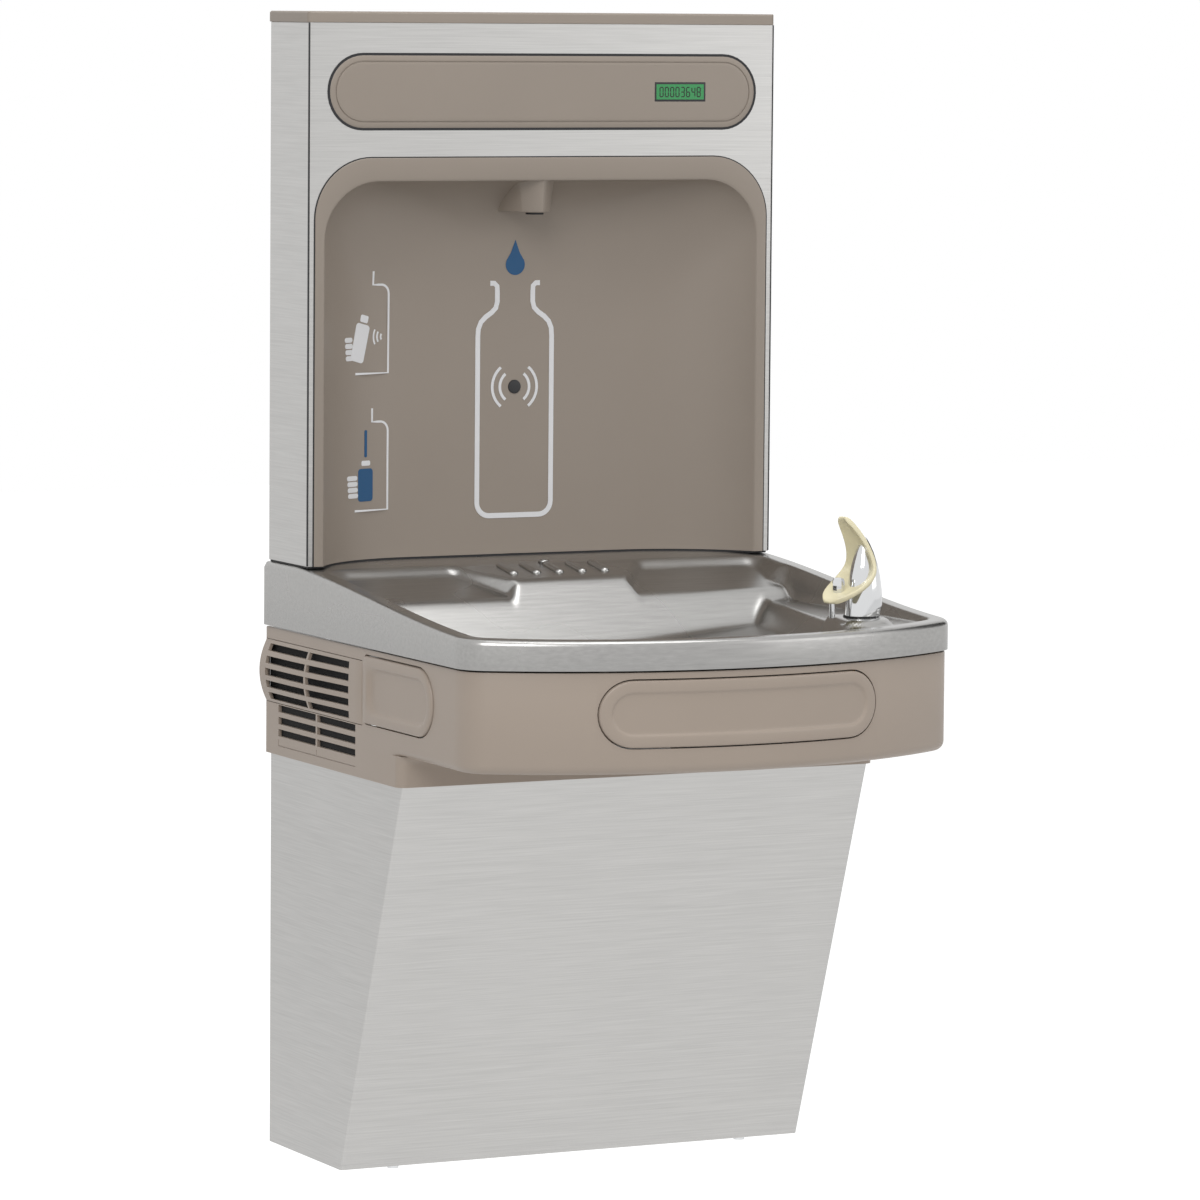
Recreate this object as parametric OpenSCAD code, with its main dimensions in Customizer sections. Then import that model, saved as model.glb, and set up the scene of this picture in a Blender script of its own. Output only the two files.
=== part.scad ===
// Wall hung drinking water cooler with a bottle filler tower.
// Origin: wall plane, centreline, lower edge of the cabinet. +X to the viewer's right, +Y into the wall.

/* [Overall] */
// Height from the cabinet's lower edge to the top of the cap
total_h = 1002; // [960:1:1060]
// Height of the ledge that the tower stands on
ledge_z = 518; // [505:1:530]
// Thickness of the bent steel sheets
sheet_t = 1.5; // [1:0.1:2.5]
// Running gap between neighbouring pieces
seat_gap = 0.3; // [0.2:0.05:0.5]
// Play of a sliding pin in its bore
slide_play = 0.05; // [0.03:0.01:0.08]

/* [Basin] */
// Width of the basin
basin_w = 463; // [440:1:490]
// Depth from the wall to the front of the basin
basin_d = 484.5; // [460:0.5:500]
// Radius of the round front
front_r = 418; // [400:1:440]
// Radius of the two front corners
corner_r = 32; // [20:1:40]
// Height of the rim at the front
rim_z = 487; // [480:1:500]
// Height of the skirt's lower edge
skirt_z = 462; // [455:1:468]
// Width of the flat rim
rim_w = 16; // [12:1:22]
// Height of the bowl's floor at its low end
bowl_floor_z = 440; // [425:1:450]
// Height of the bowl's floor at its high end
bowl_high_z = 466; // [455:1:470]
// Height of the deck that carries the bubbler
deck_z = 483; // [478:1:485]
// Distance from the wall to the bowl's back wall
bowl_back = 162; // [155:1:175]
// Distance from the wall to the step in front of the tower
step_y = 88; // [86:1:95]
// Drop of the step in front of the tower
step_h = 8; // [5:0.5:12]
// Height of the sloping shelves at their front edge
shelf_z = 492; // [487:1:498]
// Width of the raised pad
pad_w = 109; // [90:1:130]
// Height of the raised pad at its front edge
pad_z = 507.5; // [503:0.5:511]
// Distance from the wall to the pad's front edge
pad_front = 143; // [136:1:150]
// Number of ribs on the pad
rib_count = 5; // [3:1:7]
// Spacing of the ribs
rib_pitch = 22.3; // [18:0.1:24]
// Radius of the drain hole
drain_r = 17; // [16.5:0.1:20]

/* [Tower] */
// How far the tower stands in from the basin's edge
tower_in = 4.5; // [2:0.5:12]
// Depth of the tower
tower_d = 83.7; // [78:0.1:86]
// Height of the cap
cap_h = 9.5; // [6:0.5:14]
// Overhang of the cap
cap_over = 1.2; // [0.5:0.1:2]
// Distance from the top of the cap down to the display panel's centre
display_down = 69.4; // [66:0.1:76]
// Distance from the tower's edge to the display panel
display_in = 20.8; // [18:0.1:30]
// Height of the display panel
display_h = 61; // [50:0.5:66]
// Width of the display window
window_w = 51; // [40:0.5:60]
// Height of the display window
window_h = 17.5; // [12:0.5:22]
// Distance from the panel's right end to the display window's middle
window_in = 73.4; // [60:0.1:95]

/* [Alcove] */
// Distance from the tower's edge to the alcove's opening
alcove_in = 15; // [13:1:27]
// Height of the tower's head above the alcove's ceiling
head_h = 147; // [140:1:165]
// Distance from the wall to the alcove's back
alcove_back = 25; // [22:1:30]
// Radius of the cove between back and ceiling
cove_r = 60; // [45:1:60]
// Radius of the upper corners of the opening
arch_r = 50; // [40:1:60]
// Radius of the curved side walls
side_r = 130; // [125:1:140]
// Wall of the alcove liner
liner_t = 3; // [2:0.5:4]
// Width of the flange at the sides
flange_w = 9; // [6:0.5:10]
// Width of the flange at the top
flange_top = 20; // [12:1:24]
// Share of the alcove's height at which the sensor sits
sensor_share = 0.448; // [0.4:0.001:0.5]
// Radius of the sensor's lens
sensor_r = 6.5; // [5:0.5:8]

/* [Apron] */
// How far the apron stands in from the basin's edge
apron_in = 2.5; // [2:0.1:5]
// Wall of the apron
apron_t = 3; // [2.5:0.5:4]
// Height of the front band below the basin's skirt
band_h = 87; // [80:1:94]
// Bulge of the side grilles
bulge = 7; // [4:0.5:8]
// Height of a grille slot
slot_h = 6.5; // [5:0.5:8]
// Spacing of the grille slots
slot_pitch = 10.7; // [9:0.1:11]
// Width of the front push bar
bar_w = 260; // [220:1:280]
// Height of the front push bar
bar_h = 56; // [48:1:58]
// Length of a side push pad
side_pad_l = 139; // [120:1:145]
// Height of a side push pad
side_pad_h = 58; // [50:1:60]
// Travel of the bar and the pads
travel = 4; // [2:0.5:5]
// Black gap round the bar and the pads
bar_gap = 1.2; // [0.8:0.1:2]
// Radius of the guide pins
pin_r = 3; // [2.5:0.1:4]

/* [Cabinet] */
// How far the lower cabinet stands in from the basin's edge
cabinet_in = 7.3; // [4.5:0.1:16]
// Depth of the lower cabinet at its top
cabinet_d = 278.7; // [260:0.1:290]
// Depth of the lower cabinet at its foot
foot_d = 155; // [150:1:180]
// Distance from the basin's skirt down to the top of the lower cabinet's panel
cabinet_drop = 113.4; // [105:0.2:125]
// Thickness of the lower panel
panel_t = 1.2; // [1:0.1:2]
// Width of the wall bracket
bracket_w = 330; // [280:1:340]
// Height of the wall bracket
bracket_h = 60; // [50:1:70]
// Spacing of the wall screws across
wall_hole_x = 300; // [250:1:310]
// Spacing of the wall screws up and down
wall_hole_z = 36; // [30:1:40]
// Radius of the wall screw holes
wall_hole_r = 4; // [3:0.5:5]

/* [Water and cooling] */
// Outer radius of the drain pipe
waste_r = 15.9; // [14:0.1:16]
// Bore radius of the water inlet
inlet_r = 4.8; // [3:0.1:6]
// Outer radius of the water tubes
tube_r = 4; // [3:0.1:4.5]
// Radius of the compressor
comp_r = 56; // [45:1:60]
// Height of the compressor
comp_h = 130; // [100:1:140]
// Radius of the cold tank
tank_r = 48; // [35:1:50]
// Height of the cold tank
tank_h = 140; // [110:1:150]
// Thickness of the tank's foam
foam_t = 16; // [10:1:18]
// Radius of the fan
fan_r = 60; // [45:1:62]
// Number of fan blades
blade_count = 5; // [3:1:7]

/* [Hidden] */
$fn = 96;
cut = 1;
seam = 0.5;
front_cy = front_r - basin_d;
tower_w = basin_w - 2 * tower_in;
cabinet_w = basin_w - 2 * cabinet_in;
cabinet_h = skirt_z - cabinet_drop;
band_z = skirt_z - band_h;
tower_z = ledge_z + sheet_t;
cap_z = total_h - cap_h;
display_z = total_h - display_down;
display_w = tower_w - 2 * display_in;
window_x = display_w / 2 - window_in;
alcove_w = tower_w - 2 * alcove_in;
ceiling_z = total_h - head_h;
alcove_h = ceiling_z - ledge_z;
sensor_z = ledge_z + alcove_h * sensor_share;
side_reach = side_r + alcove_back - tower_d;
flat_half = alcove_w / 2 - sqrt(pow(side_r, 2) - pow(side_reach, 2));

// Tower trim
side_lap = 8;
cap_r = 4;
cap_lip = sheet_t + 2 * seat_gap;
flange_t = 1.2;
outline_w = 1.5;
panel_proud = 0.4;
panel_step = 1;
panel_bevel = 9;
panel_lap = 4;
window_sunk = 0.2;
window_back = 3;
module_t = 9;
module_lap = 7;

// Filler nozzle, its boss and its valve
nozzle_r = 8;
nozzle_in = 19.7;
nozzle_y = -tower_d + nozzle_in;
nozzle_drop = 2;
nozzle_up = 15;
collar_h = 6;
boss_drop = 29;
boss_low = ceiling_z - boss_drop;
valve_w = 32;
valve_l = 40;
valve_h = 26;
valve_neck = 14;
valve_z = ceiling_z + nozzle_up + valve_neck;
coil_r = 12;
strap_t = 2;
drop_in = 37;
drop_y = 20;
filler_drop = [tower_w / 2 - drop_in, -drop_y, ledge_z - sheet_t / 2];
tube_rise = 70;

// Control board and sensor
board_w = 110;
board_h = 76;
board_t = 1.6;
board_off = 12.5;
board_in = 40;
board_top = 16;
standoff_r = 3;
sensor_box = [36, 8, 28];
lens_proud = 1;

// Bowl, drain and bubbler boss
end_back_in = 53.5;
end_front_in = 121.5;
bowl_end_back = basin_w / 2 - end_back_in;
bowl_end_front = basin_w / 2 - end_front_in;
drain_x = -110;
drain_y = -235;
strainer_t = 1.5;
strainer_h = 12;
nut_h = 6;
pipe_wall = 1.6;
pipe_drop = 69;
pipe_z = bowl_floor_z - strainer_h - pipe_drop;
pipe_back = 2;
pipe_play = 4;
stop_y = 52;
stop_l = 8;
bubbler_in = 71.5;
bubbler_x = basin_w / 2 - bubbler_in;
bubbler_front = 104.5;
bubbler_y = -basin_d + bubbler_front;
bubbler_boss_r = 28;
bubbler_boss_h = 6;
seat_z = deck_z + bubbler_boss_h;

// Bubbler
shank_r = 8;
washer_r = 15;
washer_h = 1.5;
body_r = 13.5;
body_h = 44;
belly_r = 14;
fin_t = 6;
fin_r = 40;
guard_t = 5;
guard_w = 36;
// Lip, bend and tip of the guard in (x, z), from the bubbler's seat
guard_lip = [-37, 16];
guard_bend = [7, 41];
guard_tip = [-26, 88];
arm = guard_bend - guard_lip;
arm_rise = arm[1] / arm[0];
stem_in = 9;
stem_r = 2.3;
tip_in = 15;
tip_r = 6;
tip_h = 8;
tip_neck = 10;
tip_bore = 1.5;
bubbler_nut_h = 7;
regulator_in = 50;
regulator_drop = 22;
regulator_r = 14;
regulator_l = 40;
regulator = [basin_w / 2 - regulator_in, bubbler_y + 2.5 * regulator_r, skirt_z - regulator_drop];

// Apron, bar and pads
plate_z = band_z + apron_t;
apron_x = basin_w / 2 - apron_in;
apron_gap = 1.5;
apron_tongue = 4.5;
bar_z = (band_z + skirt_z) / 2 + side_pad_h / 8;
bar_proud = 1.7;
bar_t = 8;
bar_dish = 1.2;
bar_lip = 10;
bar_inner = apron_in - bar_proud + bar_t;
bar_back = -basin_d + bar_inner;
post_in = 42;
post_y = -basin_d + post_in;
post_x = bar_w * 0.3;
plunger_reach = 6;
pad_proud = 2;
pad_dish = 1.5;
pad_front_in = 204;
pad_y = basin_d - pad_front_in;
side_x = apron_x + pad_proud - bar_t;
side_post = apron_x - 3 * bar_t;
pad_pin = side_pad_l * 0.26;
guide_t = 3;
guide_h = 22;
guide_end = 15;
guide_boss = 5;
foot_l = 16;
switch_box = [28, 18, 22];
switch_bore = 13;
grille_y = 8;
grille_gap = 6;
grille_l = pad_y - side_pad_l / 2 - grille_gap - grille_y;
grille_h = 55;
grille_in = 12.5;
grille_z = skirt_z - grille_in;
vent_web = 10;
low_vent_up = 17.4;

// Cabinet
slope = (cabinet_d - foot_d) / cabinet_h;
tuck = 8;
hem = 20;
screw_in = 9;
screw_y = -foot_d + screw_in;
screw_x = cabinet_w * 0.38;
screw_r = 2;
screw_head_r = 5;
screw_head_h = 3;
tray_t = 2;
tray_h = 16;
tray_in = 3;
hook_in = 12;
hook_z = skirt_z - hook_in;
hook_y = [13, 11.3, 9.3];
hook_t = 2;
hook_h = 10;
bracket_t = 3;
bracket_drop = 12;
bracket_top = hook_z - bracket_drop;
bracket_reach = 9;
window_side = 7;
window_foot = 4;
cable_r = 11;
cable_x = 110;
cable_z = 60;

// Cooling
comp_x = -95;
comp_y = -82;
foot_h = 9;
foot_r = 9;
stud_r = 3;
stud_h = 16;
base_t = 3;
comp_low = panel_t + tray_t + foot_h;
cover = [28, 36, 44];
cover_up = 40;
cond_x = 120;
cond_z = 192;
cond_h = 140;
cond_l = 186;
cond_t = 40;
fin_count = 15;
plate_t = 1;
coil_rows = 5;
coil_tube = 4;
shroud_t = 14;
blade_gap = 4;
fan_y = -cond_l / 2 - sheet_t;
fan_z = cond_z + cond_h / 2;
motor_r = 24;
motor_l = 40;
motor_gap = 4;
shaft_r = 3;
hub_r = 16;
hub_l = 11;
blade_t = 1.6;
blade_w = 40;
blade_pitch = 28;
arm_w = 8;
tank_x = -100;
tank_y = -112;
tank_z = 180;
saddle_w = 60;
drier_at = [15, -24, 70];
drier_r = 10;
drier_l = 90;
thermo = [44, 34.5, 40];
thermo_at = [20, 290];
knob_r = 10;
inlet_in = 54.2;
inlet_x = cabinet_w / 2 - inlet_in;
supply_play = 3.2;
inlet_y = -40;
inlet_z = 60;
inlet_l = 50;
inlet_body_r = 11;
inlet_depth = 30;
steel = [0.80, 0.81, 0.82];
tan = [0.60, 0.56, 0.51];
warm = [0.67, 0.62, 0.57];
cream = [0.95, 0.91, 0.74];
black = [0.10, 0.10, 0.11];
copper = [0.72, 0.45, 0.30];

// Extrudes a drawing of (y, z) along X, centred on the middle plane
module along_x(length) { rotate([90, 0, 90]) linear_extrude(length, center = true) children(); }

// Extrudes a drawing of (x, z) along Y from the wall side y1 towards the front y0
module along_y(y0, y1) { translate([0, y1, 0]) rotate([90, 0, 0]) linear_extrude(y1 - y0) children(); }

// Draws its child on both sides of the middle plane
module both_sides() {
    children();
    mirror([1, 0, 0]) children();
}

// A box between two corners
module block(low, high) { translate(low) cube(high - low); }

// A tube run along straight stretches, with a ball at each bend
module run(points, r) {
    for (i = [0:len(points) - 2]) {
        d = points[i + 1] - points[i];
        translate(points[i])
            rotate([0, acos(d[2] / norm(d)), atan2(d[1], d[0])])
                cylinder(r = r, h = norm(d), $fn = 32);
        if (i > 0)
            translate(points[i]) sphere(r = r, $fn = 32);
    }
}

// A bar with half round ends
module stadium(w, h) {
    square([w - h, h], center = true);
    for (s = [-1, 1])
        translate([s * (w - h) / 2, 0]) circle(d = h);
}

// Plan of the basin, drawn in by an inset, with its back edge at the given distance from the wall
module d_plan(inset, back) {
    w = basin_w / 2 - inset;
    r = front_r - inset;
    f = max(corner_r - inset, corner_r / 4);
    fx = w - f;
    fy = front_cy - sqrt(pow(r - f, 2) - pow(fx, 2));
    u = [fx, fy - front_cy] / (r - f);
    difference() {
        intersection() {
            translate([-w, -basin_d]) square([2 * w, basin_d - back]);
            translate([0, front_cy]) circle(r, $fn = 256);
        }
        both_sides()
            difference() {
                polygon([[fx, fy], [fx + 2 * f, fy], [fx + 2 * f, fy + 2 * f * u[1]], [fx, fy] + 2 * f * u]);
                translate([fx, fy]) circle(f);
            }
    }
}

// Distance from the wall, as a y value, of the round front drawn in by an inset
function arc_y(inset, x) = front_cy - sqrt(pow(front_r - inset, 2) - pow(x, 2)) ;

// Height of the rim at a distance from the wall: a long easy curve from the ledge down to the front
function rim_at(y) = rim_z + (ledge_z + sheet_t - rim_z) * (1 + cos(180 * min(1, -y / (basin_d - corner_r * 0.7)))) / 2;
rim_steps = 30;

// Everything below the basin's top skin, lowered by k
module basin_block(k) {
    reach = step_y;
    intersection() {
        translate([0, 0, bowl_floor_z - sheet_t - k * cut]) linear_extrude(total_h) d_plan(k, k);
        along_x(basin_w + 2 * cut)
            polygon(concat(
                [[0, ledge_z - k], [-reach, ledge_z - k]],
                [for (i = [0:rim_steps])
                    let (y = -reach - (basin_d - reach) * i / rim_steps) [y, min(ledge_z, rim_at(y)) - k]],
                [[-basin_d - cut, rim_z - k], [-basin_d - cut, 0], [0, 0]]));
    }
}

// Plan of the raised pad, drawn in by k: it flares towards the tower
module pad_plan(k) {
    w = pad_w / 2 - k;
    r = pad_w / 9;
    flare = pad_w * 0.36;
    polygon([[-w - flare, -step_y], [w + flare, -step_y], [w, -step_y - flare * 0.5], [w, -pad_front + r + k],
        [-w, -pad_front + r + k], [-w, -step_y - flare * 0.5]]);
    translate([-w + r, -pad_front + k]) square([2 * (w - r), pad_front - step_y - k]);
    for (s = [-1, 1])
        translate([s * (w - r), -pad_front + r + k]) circle(r);
}

// The shallow space above the shelves, the pad and the bubbler's deck, grown by k
module recess(k) {
    top = ledge_z + 2 * cut;
    back = -step_y + k;
    intersection() {
        linear_extrude(total_h) d_plan(rim_w - k, step_y - k);
        along_x(basin_w)
            polygon([[back, top], [back, ledge_z - step_h / 8 - k], [-pad_front, pad_z - k], [-basin_d, pad_z - k],
                [-basin_d, top]]);
    }
    intersection() {
        linear_extrude(total_h)
            difference() {
                d_plan(rim_w - k, step_y - k);
                pad_plan(k);
            }
        along_x(basin_w)
            polygon([[back, top], [back, ledge_z - step_h - k], [-bowl_back + step_h, shelf_z - k],
                [-bowl_back, shelf_z - k], [-bowl_back - 3 * step_h, deck_z - k], [-basin_d, deck_z - k],
                [-basin_d, top]]);
    }
}

// Plan of the bowl, grown by k
module bowl_plan(k) {
    intersection() {
        d_plan(rim_w - k, 0);
        polygon([[-basin_w, -bowl_back + k], [bowl_end_back + k, -bowl_back + k], [bowl_end_front + k, -basin_d],
            [-basin_w, -basin_d]]);
    }
}

// The space inside the bowl, grown by k, with its floor falling to the left
module bowl(k) {
    intersection() {
        linear_extrude(total_h) bowl_plan(k);
        along_y(-basin_d, 0)
            polygon([[-basin_w, ledge_z], [-basin_w, bowl_floor_z - k], [drain_x + 2 * drain_r, bowl_floor_z - k],
                [bowl_end_back + k, bowl_high_z - k], [basin_w, bowl_high_z - k], [basin_w, ledge_z]]);
    }
}

module basin_top() {
    color(steel)
    difference() {
        union() {
            difference() {
                intersection() {
                    basin_block(0);
                    union() {
                        block([-basin_w, -basin_d - cut, skirt_z], [basin_w, cut, total_h]);
                        linear_extrude(skirt_z + cut) bowl_plan(sheet_t);
                    }
                }
                recess(0);
                bowl(0);
                difference() {
                    basin_block(sheet_t);
                    recess(sheet_t);
                    bowl(sheet_t);
                }
            }
            basin_ribs();
            translate([bubbler_x - bubbler_boss_r * 0.36, bubbler_y, deck_z - sheet_t / 2])
                cylinder(r1 = bubbler_boss_r, r2 = bubbler_boss_r * 0.72, h = bubbler_boss_h + sheet_t / 2);
        }
        translate([bubbler_x, bubbler_y, 0]) cylinder(r = shank_r + seat_gap, h = total_h);
        translate([drain_x, drain_y, 0]) cylinder(r = drain_r, h = total_h);
        translate(filler_drop) cylinder(r = tube_r + seat_gap, h = 4 * sheet_t, center = true);
    }
}

// Half round ribs that run across the pad towards the user
module basin_ribs() {
    rib_r = rib_pitch / 8;
    rise = (ledge_z - step_h / 8 - pad_z) / (pad_front - step_y);
    for (i = [0:rib_count - 1])
        translate([(i - (rib_count - 1) / 2) * rib_pitch, -pad_front + rib_pitch, pad_z + rise * rib_pitch])
            rotate([-90 + atan(rise), 0, 0]) {
                cylinder(r = rib_r, h = rib_pitch, $fn = 32);
                sphere(r = rib_r, $fn = 32);
            }
}

// Plan of the alcove's space, grown by k
module alcove_plan(k) {
    centre = alcove_back + side_r;
    intersection() {
        union() {
            translate([-flat_half, -centre]) square([2 * flat_half, side_r + k]);
            for (s = [-1, 1])
                translate([s * flat_half, -centre]) circle(side_r + k, $fn = 128);
        }
        translate([-tower_w / 2, -tower_d - 2 * liner_t]) square([tower_w, tower_d]);
    }
}

// Front view of the alcove's opening, grown by k
module arch(side, top, r) {
    translate([-side, tower_z - cut]) square([2 * side, top - r - tower_z + cut]);
    translate([-side + r, tower_z]) square([2 * (side - r), top - tower_z]);
    for (s = [-1, 1])
        translate([s * (side - r), top - r]) circle(r);
}

// The alcove's space, grown by k
module alcove_space(k) {
    back = -alcove_back + k;
    cy = -alcove_back - cove_r;
    cz = ceiling_z - cove_r;
    intersection() {
        translate([0, 0, tower_z - cut]) linear_extrude(alcove_h + 4 * liner_t) alcove_plan(k);
        along_y(-tower_d - 2 * liner_t, 0) arch(alcove_w / 2 + k, ceiling_z + k, arch_r + k);
        along_x(tower_w)
            union() {
                translate([cy, cz]) circle(cove_r + k);
                translate([-tower_d - 2 * liner_t, tower_z - cut])
                    square([tower_d + 2 * liner_t + back, cz - tower_z + cut]);
                translate([-tower_d - 2 * liner_t, cz])
                    square([tower_d + 2 * liner_t + cy, cove_r + k]);
            }
    }
}

module alcove_liner() {
    color(tan)
    difference() {
        union() {
            difference() {
                union() {
                    intersection() {
                        alcove_space(liner_t);
                        block([-tower_w, -tower_d, tower_z], [tower_w, 0, total_h]);
                    }
                    along_y(-tower_d - flange_t, -tower_d)
                        intersection() {
                            arch(alcove_w / 2 + flange_w, ceiling_z + flange_top, arch_r + flange_w / 2);
                            translate([-tower_w, tower_z]) square([2 * tower_w, total_h]);
                        }
                }
                alcove_space(0);
            }
            intersection() {
                alcove_space(liner_t / 2);
                union() {
                    translate([0, nozzle_y, boss_low])
                        cylinder(r1 = nozzle_r * 1.9, r2 = nozzle_r * 2.5, h = ceiling_z + cut - boss_low);
                    block([-nozzle_r * 1.3, nozzle_y, boss_low + nozzle_r / 2], [nozzle_r * 1.3, 0, ceiling_z + liner_t]);
                }
            }
        }
        translate([0, nozzle_y, boss_low - cut]) cylinder(r = nozzle_r + slide_play, h = 2 * cove_r);
        translate([0, 0, sensor_z]) rotate([90, 0, 0]) cylinder(r = sensor_r + slide_play, h = tower_d);
    }
}

module filler_nozzle() {
    low = boss_low - nozzle_drop;
    color(black)
    translate([0, nozzle_y, 0])
    difference() {
        union() {
            translate([0, 0, low]) cylinder(r = nozzle_r, h = ceiling_z + nozzle_up - low);
            translate([0, 0, ceiling_z + liner_t]) cylinder(r = nozzle_r * 1.5, h = collar_h);
        }
        translate([0, 0, low - cut]) cylinder(r = nozzle_r / 2, h = alcove_h);
    }
}

module filler_valve() {
    front = nozzle_y - valve_l * 0.35;
    back = front + valve_l;
    ear_z = valve_z + valve_h / 6;
    color("gainsboro")
    difference() {
        union() {
            translate([0, nozzle_y, ceiling_z + nozzle_up]) cylinder(r = nozzle_r * 0.9, h = valve_neck + cut);
            block([-valve_w / 2, front, valve_z], [valve_w / 2, back, valve_z + valve_h]);
            translate([0, front + valve_l * 0.7, valve_z + valve_h]) cylinder(r = coil_r, h = valve_h);
            block([-coil_r, back, ear_z], [coil_r, -sheet_t, ear_z + strap_t]);
        }
        translate([0, nozzle_y, ceiling_z + nozzle_up - cut])
            cylinder(r = nozzle_r / 2, h = valve_neck + valve_h / 3);
    }
}

module filler_tube() {
    start = [valve_w / 2, nozzle_y + valve_l * 0.45, valve_z + valve_h / 2];
    top = tank_z + tank_h + tube_rise;
    end_x = tank_x + tank_r * 0.4;
    color("whitesmoke")
    run([start, [filler_drop[0], start[1], start[2]], [filler_drop[0], filler_drop[1], start[2]],
        [filler_drop[0], filler_drop[1], top], [filler_drop[0], tank_y, top], [end_x, tank_y, top],
        [end_x, tank_y, tank_z + tank_h + foam_t]], tube_r);
}

module tower_front() {
    hole = liner_t + seat_gap;
    color(steel)
    along_y(-tower_d, -tower_d + sheet_t)
        difference() {
            translate([-tower_w / 2, tower_z]) square([tower_w, cap_z - tower_z]);
            arch(alcove_w / 2 + hole, ceiling_z + hole, arch_r + hole);
            translate([0, display_z]) stadium(display_w + 2 * outline_w, display_h + 2 * outline_w);
        }
}

// One folded side of the tower, with a flange behind the front and one on the back
module tower_side() {
    x = tower_w / 2;
    front = -tower_d + sheet_t + seam;
    color(steel) {
        block([x - sheet_t, front, tower_z], [x, 0, cap_z]);
        block([x - side_lap, front, tower_z], [x, front + sheet_t, cap_z]);
        block([x - 2 * side_lap, -2 * sheet_t, tower_z], [x, -sheet_t, cap_z]);
    }
}
module tower_side_left() { mirror([1, 0, 0]) tower_side(); }
module tower_side_right() { tower_side(); }

module tower_back() {
    x = tower_w / 2 - sheet_t - seat_gap;
    color("silver") block([-x, -sheet_t, tower_z], [x, 0, cap_z]);
}

module tower_cap() {
    x = tower_w / 2 + cap_over;
    y = tower_d + cap_over / 2;
    lip_x = tower_w / 2 - 4 * cap_lip;
    color(tan) {
        difference() {
            translate([0, 0, cap_z])
                linear_extrude(cap_h)
                    difference() {
                        translate([-x, -y]) square([2 * x, y]);
                        both_sides()
                            translate([x - cap_r, -y + cap_r])
                                difference() {
                                    translate([0, -cap_r - cut]) square(cap_r + cut);
                                    circle(cap_r);
                                }
                    }
            both_sides()
                translate([x, 0, total_h]) rotate([0, 45, 0]) cube([cap_r / 2, 4 * y, cap_r / 2], center = true);
            translate([0, -y, total_h]) rotate([45, 0, 0]) cube([3 * x, cap_r / 2, cap_r / 2], center = true);
        }
        difference() {
            block([-lip_x, -tower_d + 3 * cap_lip, cap_z - cap_h / 2], [lip_x, -2 * cap_lip, cap_z]);
            block([2 * cap_lip - lip_x, -tower_d + 5 * cap_lip, cap_z - cap_h],
                [lip_x - 2 * cap_lip, -4 * cap_lip, cap_z]);
        }
    }
}

module tower_gasket() {
    edge = sheet_t;
    color(black)
    translate([0, 0, ledge_z])
        linear_extrude(sheet_t)
            difference() {
                translate([-tower_w / 2 + edge, -tower_d + edge]) square([tower_w - 2 * edge, tower_d - edge]);
                alcove_plan(0);
                translate([filler_drop[0], filler_drop[1]]) circle(tube_r + seat_gap);
            }
}

module display_gasket() {
    ring = 2 * (outline_w - seat_gap);
    color(black)
    along_y(-tower_d, -tower_d + sheet_t)
        translate([0, display_z])
            difference() {
                stadium(display_w + ring, display_h + ring);
                stadium(display_w, display_h);
            }
}

// Cut for the display window
module window_cut(k) { translate([window_x, display_z]) square([window_w + 2 * k, window_h + 2 * k], center = true); }

module display_panel() {
    face = -tower_d - panel_proud;
    back = -tower_d + sheet_t;
    color(tan)
    difference() {
        translate([0, 0, display_z]) {
            along_y(face, back) stadium(display_w, display_h);
            along_y(face - panel_step, face) stadium(display_w - panel_bevel, display_h - panel_bevel);
            along_y(back, back + sheet_t) stadium(display_w + 2 * panel_lap, display_h + 2 * panel_lap);
        }
        along_y(face - panel_step - cut, back + sheet_t + cut) window_cut(0);
    }
}

module display_window() {
    color("seagreen")
    along_y(-tower_d - panel_proud - panel_step + window_sunk, -tower_d + window_back) window_cut(0);
}

module display_module() {
    color("darkgreen") along_y(-tower_d + window_back, -tower_d + window_back + module_t) window_cut(module_lap);
}

module control_board() {
    x = -tower_w / 2 + board_in;
    top = cap_z - board_top;
    back = -sheet_t - board_off;
    post = 2 * standoff_r;
    color("darkgreen") {
        block([x, back - board_t, top - board_h], [x + board_w, back, top]);
        for (i = [0, 1], j = [0, 1])
            translate([x + post + i * (board_w - 2 * post), -sheet_t, top - post - j * (board_h - 2 * post)])
                rotate([90, 0, 0]) cylinder(r = standoff_r, h = board_off, $fn = 24);
        block([x + board_w * 0.18, back - board_off, top - board_h * 0.6],
            [x + board_w * 0.42, back - board_t, top - board_h * 0.25]);
        block([x + board_w * 0.6, back - board_off * 0.8, top - board_h * 0.75],
            [x + board_w * 0.86, back - board_t, top - board_h * 0.3]);
    }
}

module sensor_lens() {
    color(black)
    translate([0, -alcove_back - lens_proud, sensor_z])
        rotate([-90, 0, 0]) cylinder(r = sensor_r, h = liner_t + lens_proud);
}

module sensor_module() {
    y = -alcove_back + liner_t;
    half = [sensor_box[0] / 2, sensor_box[2] / 2];
    color("darkgreen") {
        block([-half[0], y, sensor_z - half[1]], [half[0], y + sensor_box[1], sensor_z + half[1]]);
        block([-half[0] / 2, y + sensor_box[1], sensor_z - half[1] / 2], [half[0] / 2, -sheet_t, sensor_z + half[1] / 2]);
    }
}

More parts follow.
